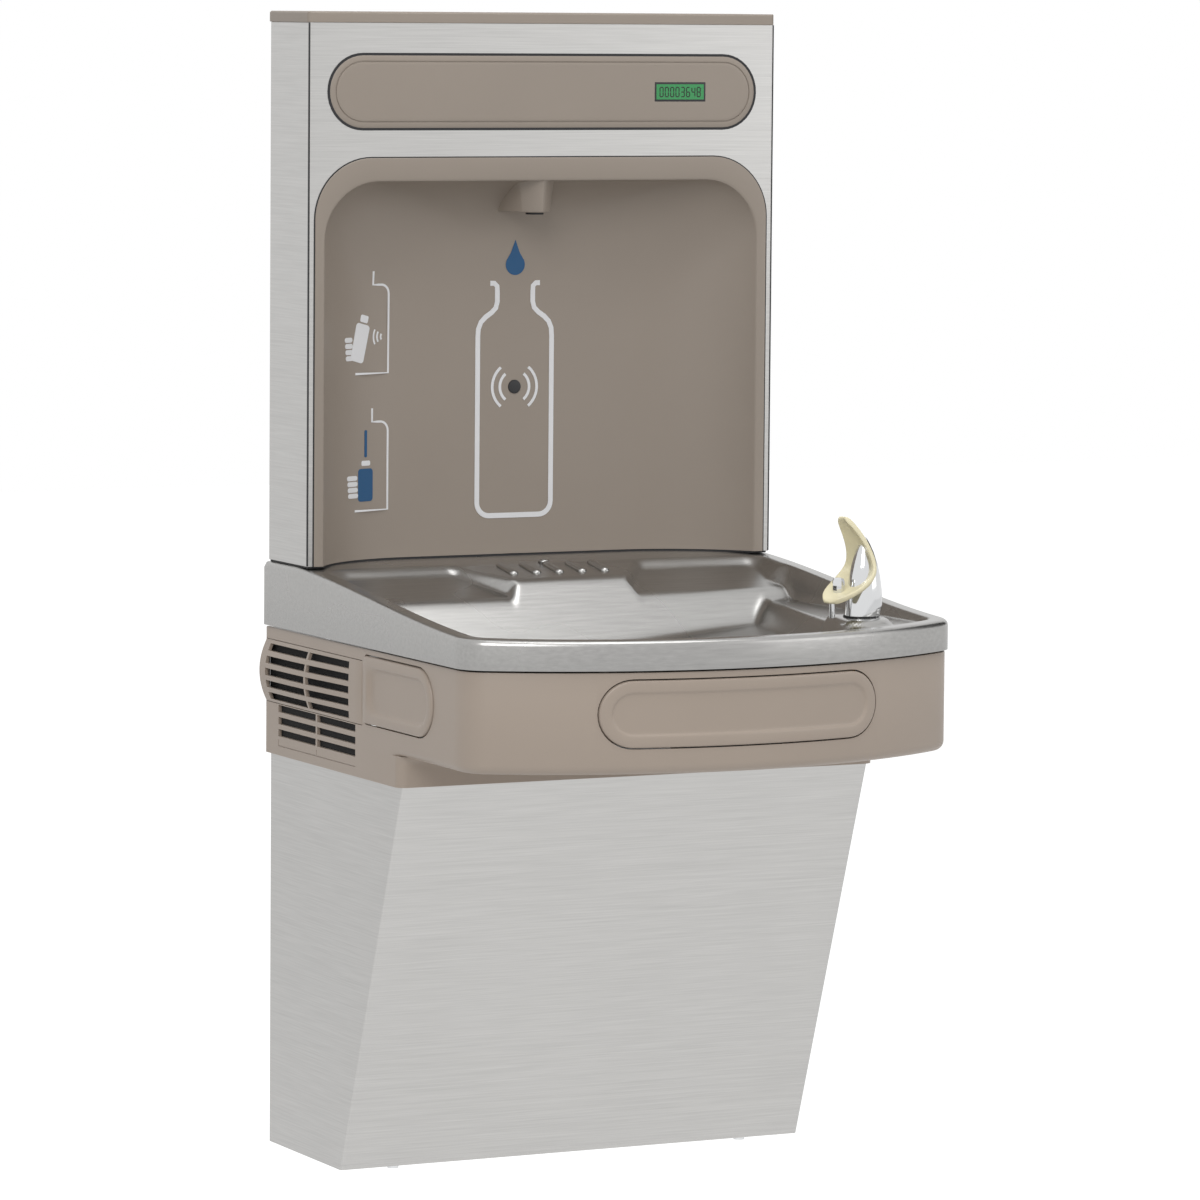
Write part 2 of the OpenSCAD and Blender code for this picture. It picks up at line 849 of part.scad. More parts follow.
module drain_strainer() {
    hole_r = drain_r / 7;
    color("silver")
    translate([drain_x, drain_y, 0])
    difference() {
        union() {
            translate([0, 0, bowl_floor_z]) cylinder(r = drain_r * 1.3, h = strainer_t);
            translate([0, 0, bowl_floor_z - strainer_h]) cylinder(r = drain_r - seat_gap, h = strainer_h);
        }
        translate([0, 0, bowl_floor_z - strainer_h - cut]) cylinder(r = drain_r - 2 * strainer_t, h = strainer_h);
        for (i = [0:7])
            rotate(i * 45) translate([drain_r * 0.62, 0, 0]) cylinder(r = hole_r, h = total_h, $fn = 24);
        cylinder(r = hole_r, h = total_h, $fn = 24);
    }
}

module drain_nut() {
    color("silver")
    translate([drain_x, drain_y, bowl_floor_z - sheet_t - nut_h])
        difference() {
            cylinder(r = drain_r * 1.35, h = nut_h, $fn = 6);
            translate([0, 0, -cut]) cylinder(r = drain_r - seat_gap + slide_play, h = nut_h + 2 * cut);
        }
}

// Waste pipe: down from the strainer, then back to the wall, with a stop for the trap's sleeve
module drain_pipe() {
    top = bowl_floor_z - strainer_h;
    bend = [drain_x, drain_y, pipe_z];
    color("gainsboro")
    difference() {
        union() {
            run([[drain_x, drain_y, top], bend, [drain_x, -pipe_back, pipe_z]], waste_r);
            translate([drain_x, drain_y, top - nut_h]) cylinder(r = drain_r + pipe_wall, h = nut_h);
            translate([drain_x, -stop_y, pipe_z]) rotate([90, 0, 0]) cylinder(r = drain_r + pipe_wall, h = stop_l);
        }
        run([[drain_x, drain_y, top + cut], bend, [drain_x, cut, pipe_z]], waste_r - pipe_wall);
    }
}

// Places its child on the bubbler's axis at the top of the boss
module at_bubbler() { translate([bubbler_x, bubbler_y, seat_z]) children(); }

// Front view of the guard, thickened by k on each side
module guard_side(k) {
    for (ends = [[guard_lip, guard_bend], [guard_bend, guard_tip]]) {
        d = ends[1] - ends[0];
        translate(ends[0]) rotate(atan2(d[1], d[0]))
            translate([0, -guard_t / 2 - k]) square([norm(d), guard_t + 2 * k]);
    }
    for (p = [guard_lip, guard_bend, guard_tip])
        translate(p) circle(guard_t / 2 + k, $fn = 32);
}

// Space above the underside of the guard's lower arm
module above_arm() {
    rotate([90, 0, 0]) translate([0, 0, -guard_w])
        linear_extrude(2 * guard_w)
            translate(guard_lip) rotate(atan(arm_rise))
                translate([-guard_w, -guard_t / 2 - seat_gap]) square([5 * guard_w, 3 * guard_w]);
}

module bubbler_guard() {
    round_z = guard_tip[1] * 0.6;
    color(cream)
    at_bubbler()
    difference() {
        intersection() {
            rotate([90, 0, 0]) linear_extrude(guard_w, center = true) guard_side(0);
            rotate([90, 0, 90]) linear_extrude(4 * guard_w, center = true)
                union() {
                    translate([-guard_w / 2, 0]) square([guard_w, round_z]);
                    translate([0, round_z]) circle(guard_w / 2);
                    translate([-guard_w / 4, round_z]) square([guard_w / 2, guard_tip[1] - round_z + guard_t]);
                }
        }
        translate([guard_lip[0] + tip_in, 0, 0]) cylinder(r = tip_r / 2 + seat_gap, h = guard_bend[1]);
    }
}

module bubbler_washer() {
    color(black)
    at_bubbler()
        difference() {
            cylinder(r = washer_r, h = washer_h);
            translate([0, 0, -cut]) cylinder(r = shank_r + seat_gap, h = washer_h + 2 * cut);
        }
}

module bubbler_body() {
    shank_l = seat_z - skirt_z;
    color("silver")
    at_bubbler()
    difference() {
        union() {
            difference() {
                translate([0, 0, washer_h]) rotate_extrude() body_half();
                above_arm();
            }
            translate([0, guard_w / 2 + seat_gap, washer_h])
                rotate([-90, 0, 0]) mirror([0, 1, 0]) linear_extrude(fin_t) fin_side();
            block([0, 0, washer_h], [body_r * 0.9, guard_w / 2 + cut, washer_h + belly_r]);
            translate([0, 0, -shank_l]) cylinder(r = shank_r, h = shank_l + washer_h + cut);
        }
        translate([0, 0, -shank_l - cut]) cylinder(r = shank_r / 2, h = shank_l + cut + belly_r / 2);
    }
}

// Half section of the housing's column, which bellies out near its foot
module body_half() {
    square([body_r, body_h]);
    intersection() {
        translate([body_r * 0.3, belly_r * 0.7]) circle(belly_r);
        square([2 * belly_r, body_h]);
    }
}

// Side of the fin behind the guard: a round foot below a leaf with a point at the top
module fin_side() {
    intersection() {
        translate([body_r * 0.45, belly_r * 0.55]) circle(belly_r);
        translate([-fin_r, 0]) square(2 * fin_r);
    }
    intersection() {
        translate([-fin_r * 0.43, fin_r * 0.72]) circle(fin_r);
        translate([fin_r * 1.1, fin_r * 0.72]) circle(fin_r * 1.3);
        translate([-fin_r, fin_r * 0.3]) square(2 * fin_r);
    }
}

module bubbler_stem() {
    color("silver")
    at_bubbler()
    difference() {
        translate([guard_lip[0] + stem_in, 0, 0]) cylinder(r = stem_r, h = guard_bend[1], $fn = 32);
        above_arm();
    }
}

module bubbler_nozzle() {
    arm_z = guard_lip[1] + arm_rise * tip_in;
    color("silver")
    at_bubbler()
    translate([guard_lip[0] + tip_in, 0, 0])
    difference() {
        union() {
            translate([0, 0, arm_z - guard_t / 2]) cylinder(r = tip_r / 2, h = tip_neck + guard_t / 2, $fn = 32);
            translate([0, 0, arm_z + tip_neck - tip_bore]) cylinder(r = tip_r, h = tip_h, $fn = 8);
        }
        cylinder(r = tip_bore, h = total_h, $fn = 24);
    }
}

module bubbler_nut() {
    color("silver")
    at_bubbler()
        translate([0, 0, -bubbler_boss_h - sheet_t - bubbler_nut_h])
            difference() {
                cylinder(r = shank_r * 2, h = bubbler_nut_h, $fn = 6);
                translate([0, 0, -cut]) cylinder(r = shank_r + slide_play, h = bubbler_nut_h + 2 * cut);
            }
}

module bubbler_valve() {
    under = deck_z - sheet_t;
    color("goldenrod") {
        translate(regulator) rotate([90, 0, 0]) cylinder(r = regulator_r, h = regulator_l, center = true);
        translate(regulator) cylinder(r = regulator_r * 0.6, h = under - regulator[2]);
        translate([regulator[0], regulator[1], under - strap_t]) cylinder(r = regulator_r * 1.1, h = strap_t);
    }
}

module bubbler_tube() {
    color("whitesmoke")
    run([regulator - [0, regulator_l / 2, 0], [regulator[0], bubbler_y, regulator[2]],
        [bubbler_x, bubbler_y, regulator[2]], [bubbler_x, bubbler_y, skirt_z]], tube_r);
}

// Opening in the front view for the bar, grown by k
module bar_outline(k) { translate([0, bar_z]) stadium(bar_w + 2 * k, bar_h + 2 * k); }

// Outline of a side pad in (y, z), grown by k: round towards the front
module pad_outline(k) {
    r = side_pad_h / 2 + k;
    back = -pad_y + side_pad_l / 2 + k;
    front = -pad_y - side_pad_l / 2 + side_pad_h / 2;
    translate([front, bar_z - r]) square([back - front, 2 * r]);
    translate([front, bar_z]) circle(r);
}

// Slots of one side vent: rows up from the lowest one, in two columns with a web between
module vent_slots(rows, low_z, y_start, length) {
    one = (length - vent_web) / 2;
    for (i = [0:rows - 1], j = [0, 1])
        translate([-y_start - one - j * (one + vent_web), low_z + i * slot_pitch - slot_h / 2])
            square([one, slot_h]);
}

module apron() {
    x = apron_x;
    lip = seat_gap + sheet_t;
    skirt_y = cabinet_d + seat_gap;
    top = skirt_z - apron_gap;
    color(warm)
    difference() {
        union() {
            translate([0, 0, band_z])
                linear_extrude(top - band_z)
                    difference() {
                        d_plan(apron_in, 0);
                        d_plan(apron_in + apron_t, -cut);
                    }
            translate([0, 0, top])
                linear_extrude(apron_gap + apron_tongue)
                    difference() {
                        d_plan(lip, lip);
                        d_plan(apron_in + apron_t, -cut);
                    }
            translate([0, 0, band_z])
                linear_extrude(apron_t)
                    intersection() {
                        d_plan(apron_in, 0);
                        translate([-x, -basin_d]) square([2 * x, basin_d - skirt_y]);
                    }
            block([-x, -skirt_y - apron_t, cabinet_h], [x, -skirt_y, plate_z]);
            both_sides() block([x - apron_t, -skirt_y - apron_t, cabinet_h], [x, 0, plate_z]);
        }
        along_y(-basin_d - cut, -basin_d / 2) bar_outline(bar_gap);
        along_x(basin_w + 2 * cut) {
            pad_outline(bar_gap);
            translate([-grille_y - grille_l - seat_gap, grille_z - grille_h - seat_gap])
                square([grille_l + 2 * seat_gap, grille_h + 2 * seat_gap]);
            vent_slots(3, cabinet_h + low_vent_up, 3.5 * grille_y, grille_l * 0.83);
        }
    }
}

// One bulged side grille
module grille() {
    chord = grille_h / 2;
    r = (pow(chord, 2) + pow(bulge, 2)) / (2 * bulge);
    color(warm)
    difference() {
        along_y(-grille_y - grille_l, -grille_y)
            intersection() {
                translate([apron_x + bulge - r, grille_z - chord]) circle(r);
                translate([apron_x - apron_t, grille_z - grille_h]) square([2 * bulge + apron_t, grille_h]);
            }
        along_y(-grille_y - grille_l + apron_t, -grille_y - apron_t)
            intersection() {
                translate([apron_x + bulge - r, grille_z - chord]) circle(r - apron_t);
                translate([apron_x - apron_t - cut, grille_z - grille_h + apron_t])
                    square([2 * bulge + apron_t, grille_h - 2 * apron_t]);
            }
        translate([apron_x, 0, 0])
            along_x(6 * bulge)
                vent_slots(5, grille_z - grille_h + 1.1 * slot_h, 2 * grille_y, grille_l * 0.85);
    }
}
module grille_left() { mirror([1, 0, 0]) grille(); }
module grille_right() { grille(); }

module front_bar() {
    root_y = arc_y(bar_inner, post_x - pin_r) - bar_t / 4;
    color(warm) {
        difference() {
            intersection() {
                along_y(-basin_d - cut, -basin_d / 2) bar_outline(0);
                translate([0, 0, band_z])
                    linear_extrude(skirt_z - band_z)
                        difference() {
                            d_plan(apron_in - bar_proud, 0);
                            d_plan(bar_inner, 0);
                        }
            }
            difference() {
                along_y(-basin_d - cut, -basin_d / 2) bar_outline(-bar_lip);
                translate([0, 0, band_z])
                    linear_extrude(skirt_z - band_z) d_plan(apron_in - bar_proud + bar_dish, 0);
            }
        }
        both_sides()
            translate([post_x, post_y + travel, bar_z])
                rotate([90, 0, 0]) cylinder(r = pin_r, h = post_y + travel - root_y, $fn = 48);
    }
}

module front_plunger() {
    color("white")
    translate([0, bar_back, bar_z])
        rotate([-90, 0, 0]) cylinder(r = pin_r, h = post_y + plunger_reach - bar_back, $fn = 48);
}

// Guide plate for a pair of pins, lying in the plane (u, z): bosses stand out towards the bar
module guide_plate(spread, foot) {
    w = 2 * (spread + guide_end);
    foot_w = foot[1] - foot[0];
    difference() {
        union() {
            translate([-w / 2, 0, bar_z - guide_h / 2]) cube([w, guide_t, guide_h]);
            translate([foot[0], 0, plate_z]) cube([foot_w, guide_t, bar_z - plate_z]);
            translate([foot[0], 0, plate_z]) cube([foot_w, foot_l, guide_t]);
            both_sides()
                translate([spread, 0, bar_z]) rotate([90, 0, 0]) cylinder(r = pin_r * 2.3, h = guide_boss, $fn = 48);
        }
        both_sides()
            translate([spread, guide_t + cut, bar_z])
                rotate([90, 0, 0]) cylinder(r = pin_r + slide_play, h = guide_t + guide_boss + 2 * cut, $fn = 48);
        translate([0, guide_t + cut, bar_z])
            rotate([90, 0, 0]) cylinder(r = pin_r * 1.6, h = guide_t + 2 * cut, $fn = 48);
    }
}

// Switch with the bore that its plunger runs in, its back to +Y
module switch_body() {
    difference() {
        translate([-switch_box[0] / 2, guide_t, bar_z - switch_box[2] / 2]) cube(switch_box);
        translate([0, guide_t + switch_bore, bar_z])
            rotate([90, 0, 0]) cylinder(r = pin_r + slide_play, h = switch_bore + cut, $fn = 48);
    }
}

module front_bracket() {
    color("silver") translate([0, post_y, 0]) guide_plate(post_x, [-bar_w * 0.2, bar_w * 0.2]);
}
module front_switch() { color(black) translate([0, post_y, 0]) switch_body(); }

// The side pads are drawn on the right and mirrored
module at_side() { translate([side_post, -pad_y, 0]) rotate([0, 0, 90]) children(); }
module side_pad() {
    color(warm) {
        difference() {
            translate([side_x + bar_t / 2, 0, 0]) along_x(bar_t) pad_outline(0);
            translate([side_x + bar_t, 0, 0]) along_x(2 * pad_dish) pad_outline(-bar_t);
        }
        for (s = [-1, 1])
            translate([side_x, -pad_y + s * pad_pin, bar_z])
                rotate([0, -90, 0]) cylinder(r = pin_r, h = side_x - side_post + travel, $fn = 48);
    }
}
module side_plunger() {
    color("white")
    translate([side_x, -pad_y, bar_z])
        rotate([0, -90, 0]) cylinder(r = pin_r, h = side_x - side_post + plunger_reach, $fn = 48);
}
module side_bracket() {
    color("silver") at_side() guide_plate(pad_pin, [-pad_pin - guide_end * 0.8, -bar_t]);
}
module side_switch() { color(black) at_side() switch_body(); }
module right_pad() { side_pad(); }
module right_plunger() { side_plunger(); }
module right_bracket() { side_bracket(); }
module right_switch() { side_switch(); }
module left_pad() { mirror([1, 0, 0]) side_pad(); }
module left_plunger() { mirror([1, 0, 0]) side_plunger(); }
module left_bracket() { mirror([1, 0, 0]) side_bracket(); }
module left_switch() { mirror([1, 0, 0]) side_switch(); }

// Side view of the lower cabinet, drawn in by k at the front, up to the given height
module cabinet_side(k, low, high) {
    polygon([[0, low], [-foot_d - slope * low + k, low], [-cabinet_d + k, cabinet_h], [-cabinet_d + k, high], [0, high]]);
}

module lower_panel() {
    inner = cabinet_w - 2 * panel_t;
    color(steel)
    difference() {
        along_x(cabinet_w) cabinet_side(0, 0, cabinet_h + tuck);
        along_x(inner) {
            cabinet_side(panel_t, panel_t, cabinet_h + tuck + cut);
            translate([-cut, 0]) square([2 * cut, total_h]);
        }
        block([-inner / 2, -foot_d + hem, -cut], [inner / 2, cut, 2 * panel_t]);
        both_sides() translate([screw_x, screw_y, -cut]) cylinder(r = screw_r * 1.3, h = 4 * panel_t, $fn = 32);
    }
}

module panel_screws() {
    color("dimgray")
    both_sides()
        translate([screw_x, screw_y, 0]) {
            translate([0, 0, -screw_head_h]) cylinder(r = screw_head_r, h = screw_head_h, $fn = 32);
            cylinder(r = screw_r, h = 2 * screw_head_h, $fn = 32);
        }
}

module base_tray() {
    x = cabinet_w / 2 - panel_t - seat_gap;
    front = -foot_d + panel_t + tray_in;
    color("silver")
    difference() {
        union() {
            block([-x, front, panel_t], [x, -sheet_t, panel_t + tray_t]);
            both_sides() block([x - tray_t, front, panel_t], [x, -sheet_t, panel_t + tray_h]);
        }
        both_sides() translate([screw_x, screw_y, -cut]) cylinder(r = screw_r + slide_play, h = tray_h, $fn = 32);
        block([inlet_x - inlet_r - supply_play, inlet_y - inlet_r - supply_play, 0],
            [inlet_x + inlet_r + supply_play, 0, tray_h]);
    }
}

module back_frame() {
    x = cabinet_w / 2 - panel_t - seat_gap;
    w = bracket_w / 2 + window_side;
    color("silver")
    difference() {
        union() {
            block([-x, -sheet_t, 0], [x, 0, skirt_z]);
            block([-w, -hook_y[0], hook_z], [w, -sheet_t, hook_z + hook_t]);
            block([-w, -hook_y[1], hook_z - hook_h], [w, -hook_y[2], hook_z]);
        }
        block([-w, -sheet_t - cut, bracket_top - bracket_h - window_foot], [w, cut, hook_z]);
        translate([cable_x, cut, cable_z]) rotate([90, 0, 0]) cylinder(r = cable_r, h = sheet_t + 2 * cut);
        translate([drain_x, cut, pipe_z]) rotate([90, 0, 0]) cylinder(r = waste_r + pipe_play, h = sheet_t + 2 * cut);
    }
}

module wall_bracket() {
    x = bracket_w / 2;
    mid = bracket_top - bracket_h / 2;
    color("darkgray")
    difference() {
        union() {
            block([-x, -bracket_t, bracket_top - bracket_h], [x, 0, bracket_top]);
            block([-x, -bracket_reach, bracket_top - bracket_t], [x, -bracket_t, bracket_top]);
            block([-x, -bracket_reach, bracket_top - bracket_t], [x, -bracket_reach + bracket_t, hook_z]);
        }
        for (i = [-1, 1], j = [-1, 1])
            translate([i * wall_hole_x / 2, cut, mid + j * wall_hole_z / 2])
                rotate([90, 0, 0]) cylinder(r = wall_hole_r, h = bracket_t + 2 * cut);
    }
}

module compressor() {
    shoulder = comp_r * 0.5;
    dome_z = comp_h - shoulder;
    lug = comp_r * 0.85;
    color(black)
    translate([comp_x, comp_y, comp_low]) {
        difference() {
            block([-comp_r, -comp_r, 0], [comp_r, comp_r, base_t]);
            for (i = [-1, 1], j = [-1, 1])
                translate([i * lug, j * lug, -cut]) cylinder(r = stud_r + slide_play, h = base_t + 2 * cut, $fn = 32);
        }
        translate([0, 0, base_t])
            rotate_extrude() {
                square([comp_r, dome_z]);
                intersection() {
                    translate([comp_r - shoulder, dome_z]) circle(shoulder);
                    translate([0, dome_z]) square([comp_r, shoulder]);
                }
                translate([0, dome_z]) square([comp_r - shoulder, shoulder]);
            }
        block([comp_r - cover[0] * 0.2, -cover[1] / 2, cover_up],
            [comp_r + cover[0] * 0.8, cover[1] / 2, cover_up + cover[2]]);
    }
}

module compressor_feet() {
    lug = comp_r * 0.85;
    color("dimgray")
    for (i = [-1, 1], j = [-1, 1])
        translate([comp_x + i * lug, comp_y + j * lug, panel_t + tray_t]) {
            cylinder(r = foot_r, h = foot_h, $fn = 32);
            cylinder(r = stud_r, h = stud_h, $fn = 32);
        }
}

module condenser() {
    step = (cond_l - sheet_t - plate_t) / (fin_count - 1);
    color(copper) {
        for (i = [0:fin_count - 1])
            let (y = -cond_l - sheet_t + i * step)
                block([cond_x, y, cond_z], [cond_x + cond_t, y + plate_t, cond_z + cond_h]);
        for (j = [0:coil_rows - 1], k = [0, 1])
            translate([cond_x + cond_t * (0.3 + 0.4 * k), -sheet_t, cond_z + cond_h * (j + 0.5) / coil_rows])
                rotate([90, 0, 0]) cylinder(r = coil_tube, h = cond_l, $fn = 24);
    }
}

module fan_shroud() {
    half = cond_h / 2;
    color(black)
    difference() {
        block([cond_x - shroud_t, fan_y - half, cond_z], [cond_x, fan_y + half, cond_z + cond_h]);
        translate([cond_x - shroud_t - cut, fan_y, fan_z])
            rotate([0, 90, 0]) cylinder(r = fan_r + blade_gap, h = shroud_t + 2 * cut);
    }
}

module fan_motor() {
    ring = fan_r + blade_gap;
    color("dimgray")
    translate([cond_x - shroud_t - motor_gap, fan_y, fan_z])
        rotate([0, 90, 0]) {
            translate([0, 0, -motor_l]) cylinder(r = motor_r, h = motor_l);
            cylinder(r = shaft_r, h = motor_gap + hub_l, $fn = 48);
            for (a = [45, 135, 225, 315])
                rotate(a) {
                    translate([motor_r * 0.8, -arm_w / 2, -motor_gap]) cube([ring - motor_r * 0.8, arm_w, motor_gap]);
                    translate([ring, -arm_w / 2, -motor_gap]) cube([arm_w, arm_w, 2 * motor_gap]);
                }
        }
}

module fan() {
    color("lightgray")
    translate([cond_x - shroud_t + motor_gap / 4, fan_y, fan_z])
        rotate([0, 90, 0])
            difference() {
                union() {
                    cylinder(r = hub_r, h = hub_l);
                    intersection() {
                        cylinder(r = fan_r, h = hub_l);
                        for (i = [0:blade_count - 1])
                            rotate(i * 360 / blade_count)
                                translate([hub_r * 0.75, 0, hub_l / 2]) rotate([blade_pitch, 0, 0])
                                    translate([0, -blade_w / 2, -blade_t / 2]) cube([fan_r, blade_w, blade_t]);
                    }
                }
                translate([0, 0, -cut]) cylinder(r = shaft_r + slide_play, h = hub_l + 2 * cut, $fn = 48);
            }
}

module cold_tank() {
    color("silver")
    translate([tank_x, tank_y, tank_z]) cylinder(r = tank_r, h = tank_h);
}

module tank_foam() {
    color("ivory")
    difference() {
        union() {
            translate([tank_x, tank_y, tank_z - foam_t]) cylinder(r = tank_r + foam_t, h = tank_h + 2 * foam_t);
            block([tank_x - saddle_w / 2, tank_y, tank_z], [tank_x + saddle_w / 2, -sheet_t, tank_z + tank_h]);
        }
        translate([tank_x, tank_y, tank_z]) cylinder(r = tank_r + seat_gap, h = tank_h);
    }
}

module drier() {
    color(copper) {
        translate(drier_at) cylinder(r = drier_r, h = drier_l, $fn = 48);
        translate(drier_at - [0, 0, drier_l / 6]) cylinder(r = drier_r * 0.3, h = drier_l * 4 / 3, $fn = 32);
        block([drier_at[0] - drier_r * 0.4, drier_at[1] + drier_r * 0.8, drier_at[2] + drier_l / 3],
            [drier_at[0] + drier_r * 0.4, -sheet_t, drier_at[2] + drier_l * 2 / 3]);
    }
}

module thermostat() {
    front = -sheet_t - thermo[1];
    color("ivory") {
        block([thermo_at[0], front, thermo_at[1]], [thermo_at[0] + thermo[0], -sheet_t, thermo_at[1] + thermo[2]]);
        translate([thermo_at[0] + thermo[0] / 2, front, thermo_at[1] + thermo[2] / 2])
            rotate([90, 0, 0]) cylinder(r = knob_r, h = knob_r * 0.8, $fn = 48);
    }
}

module inlet_valve() {
    ear_z = inlet_z + inlet_l * 0.7;
    color("goldenrod")
    difference() {
        union() {
            translate([inlet_x, inlet_y, inlet_z]) cylinder(r = inlet_body_r, h = inlet_l, $fn = 48);
            translate([inlet_x, inlet_y, inlet_z + inlet_l * 0.28])
                cylinder(r = inlet_body_r * 1.3, h = inlet_l * 0.32, $fn = 6);
            block([inlet_x - inlet_body_r, inlet_y, ear_z], [inlet_x + inlet_body_r, -sheet_t, ear_z + 2 * strap_t]);
        }
        translate([inlet_x, inlet_y, inlet_z - cut]) cylinder(r = inlet_r, h = inlet_depth + cut, $fn = 48);
    }
}

tower_front();
tower_side_left();
tower_side_right();
tower_back();
tower_cap();
tower_gasket();
alcove_liner();
filler_nozzle();
filler_valve();
filler_tube();
display_gasket();
display_panel();
display_window();
display_module();
control_board();
sensor_lens();
sensor_module();
basin_top();
drain_strainer();
drain_nut();
drain_pipe();
bubbler_washer();
bubbler_body();
bubbler_stem();
bubbler_nozzle();
bubbler_guard();
bubbler_nut();
bubbler_valve();
bubbler_tube();
apron();
grille_left();
grille_right();
front_bar();
front_plunger();
front_bracket();
front_switch();
left_pad();
left_plunger();
left_bracket();
left_switch();
right_pad();
right_plunger();
right_bracket();
right_switch();
lower_panel();
panel_screws();
back_frame();
base_tray();
wall_bracket();
compressor();
compressor_feet();
condenser();
fan_shroud();
fan_motor();
fan();
cold_tank();
tank_foam();
drier();
thermostat();
inlet_valve();
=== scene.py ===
# %% [markdown]
# # A bottle filling station, dressed in Blender
# The part is a wall hung water cooler: a steel tower with an alcove for bottles, a pressed steel
# basin with a bubbler, a moulded apron with push pads, and a sloping steel cabinet.
# The CAD model is the skeleton. Its rigid pieces come in as the frame, and every piece made here
# rides on one of its bodies. Lengths are metres, +X is the viewer's right, +Y goes into the wall.

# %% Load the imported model
import math
import bpy
import bmesh
from mathutils import Matrix, Vector


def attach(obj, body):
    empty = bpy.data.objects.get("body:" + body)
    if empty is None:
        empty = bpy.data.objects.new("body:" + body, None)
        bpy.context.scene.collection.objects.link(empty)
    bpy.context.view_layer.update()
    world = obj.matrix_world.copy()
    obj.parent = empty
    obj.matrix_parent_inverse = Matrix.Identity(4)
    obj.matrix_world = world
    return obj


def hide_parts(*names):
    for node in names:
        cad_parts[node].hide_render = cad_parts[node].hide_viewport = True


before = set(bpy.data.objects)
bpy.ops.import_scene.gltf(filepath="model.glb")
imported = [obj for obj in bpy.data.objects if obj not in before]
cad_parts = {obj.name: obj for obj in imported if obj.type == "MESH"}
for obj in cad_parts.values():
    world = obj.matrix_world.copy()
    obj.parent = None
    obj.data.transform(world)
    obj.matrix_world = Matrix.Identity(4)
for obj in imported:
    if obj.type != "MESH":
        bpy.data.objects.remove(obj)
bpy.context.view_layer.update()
MM = 0.001

# %% [markdown]
# ## Camera
# The photograph was taken from the left of the station, a little above the basin, with a long lens.
# The pose was solved from corners that can be measured both in the picture and on the CAD model.
# A camera looks along its own -Z, so its matrix is built from the right, up and backward directions.
# A small lens shift brings the station to the middle of the frame.

# %% Place the camera
CAMERA_PLACE = (-2.4308, -5.0850, 1.0151)
LENS_MM, LENS_SHIFT = 188.9, -0.07
yaw, pitch, roll = (math.radians(a) for a in (26.45, -4.70, 0.467))
ahead = Vector((math.sin(yaw) * math.cos(pitch), math.cos(yaw) * math.cos(pitch), math.sin(pitch)))
right = Vector((math.cos(yaw), -math.sin(yaw), 0))
up = right.cross(ahead)
turned_right = math.cos(roll) * right + math.sin(roll) * up
turned_up = math.cos(roll) * up - math.sin(roll) * right

camera = bpy.data.objects.new("camera", bpy.data.cameras.new("camera"))
bpy.context.scene.collection.objects.link(camera)
camera.matrix_world = (Matrix.Translation(CAMERA_PLACE)
                       @ Matrix((turned_right, turned_up, -ahead)).transposed().to_4x4())
camera.data.sensor_width = 36
camera.data.lens = LENS_MM
camera.data.shift_y = LENS_SHIFT
camera.data.clip_end = 50
bpy.context.scene.camera = camera
bpy.context.scene.view_settings.view_transform = "Standard"
print("camera looks along", [round(v, 3) for v in ahead])

# %% [markdown]
# ## Colours and nodes
# Paint and plastic are matched as sRGB hex values, but shaders work in linear light, so one
# function turns the first into the second. A second small function adds a node with its settings
# and its inputs: a plain value is set on the socket, and another node's output is linked to it.

# %% Colour and node helpers
def linear(colour):
    """Linear RGBA of an sRGB hex colour."""
    parts = [int(colour[i:i + 2], 16) / 255 for i in (1, 3, 5)]
    return [p / 12.92 if p <= 0.04045 else ((p + 0.055) / 1.055) ** 2.4 for p in parts] + [1]


def add(tree, kind, inputs=None, **settings):
    """Adds a node of that kind to the tree."""
    node = tree.nodes.new("ShaderNode" + kind)
    for name, value in settings.items():
        setattr(node, name, value)
    for socket, value in (inputs or {}).items():
        if isinstance(value, bpy.types.NodeSocket):
            tree.links.new(value, node.inputs[socket])
        else:
            node.inputs[socket].default_value = value
    return node


def start_material(name):
    """A new material with an empty tree."""
    material = bpy.data.materials.new(name)
    material.use_nodes = True
    material.node_tree.nodes.clear()
    return material, material.node_tree


print("the tower's tan in linear light:", [round(v, 3) for v in linear("#988d82")[:3]])

# %% [markdown]
# ## Floor and light
# The station hangs on a wall in use, with its lower edge about 0.43 m over the floor. The picture
# shows it cut out on white, so the scene has only a pale floor and a white surround.
# Camera, glossy and transmitted rays see the surround at full white, while the light that it sheds is
# lower. The floor's paint has a little glow for camera and glossy rays only, which lifts it to white
# in the picture and leaves the shadow in it.

# %% Floor
def seen_rays(tree):
    """1 for the rays that should see the white surround, 0 for the rays that only carry light."""
    path = add(tree, "LightPath")
    seen = path.outputs["Is Camera Ray"]
    for ray in ("Is Glossy Ray", "Is Transmission Ray"):
        seen = add(tree, "Math", {0: seen, 1: path.outputs[ray]}, operation="MAXIMUM").outputs[0]
    return seen


def flat_square(name, half, place, matrix=Matrix()):
    """A square stage piece with that half size, turned by the matrix and moved to its place."""
    mesh = bpy.data.meshes.new(name)
    bm = bmesh.new()
    bmesh.ops.create_grid(bm, x_segments=1, y_segments=1, size=half, matrix=matrix)
    bmesh.ops.translate(bm, verts=bm.verts, vec=place)
    bm.to_mesh(mesh)
    bm.free()
    square = bpy.data.objects.new(name, mesh)
    bpy.context.scene.collection.objects.link(square)
    return square


FLOOR_Z = -0.43
floor = flat_square("floor", 12, (0, 0, FLOOR_Z))

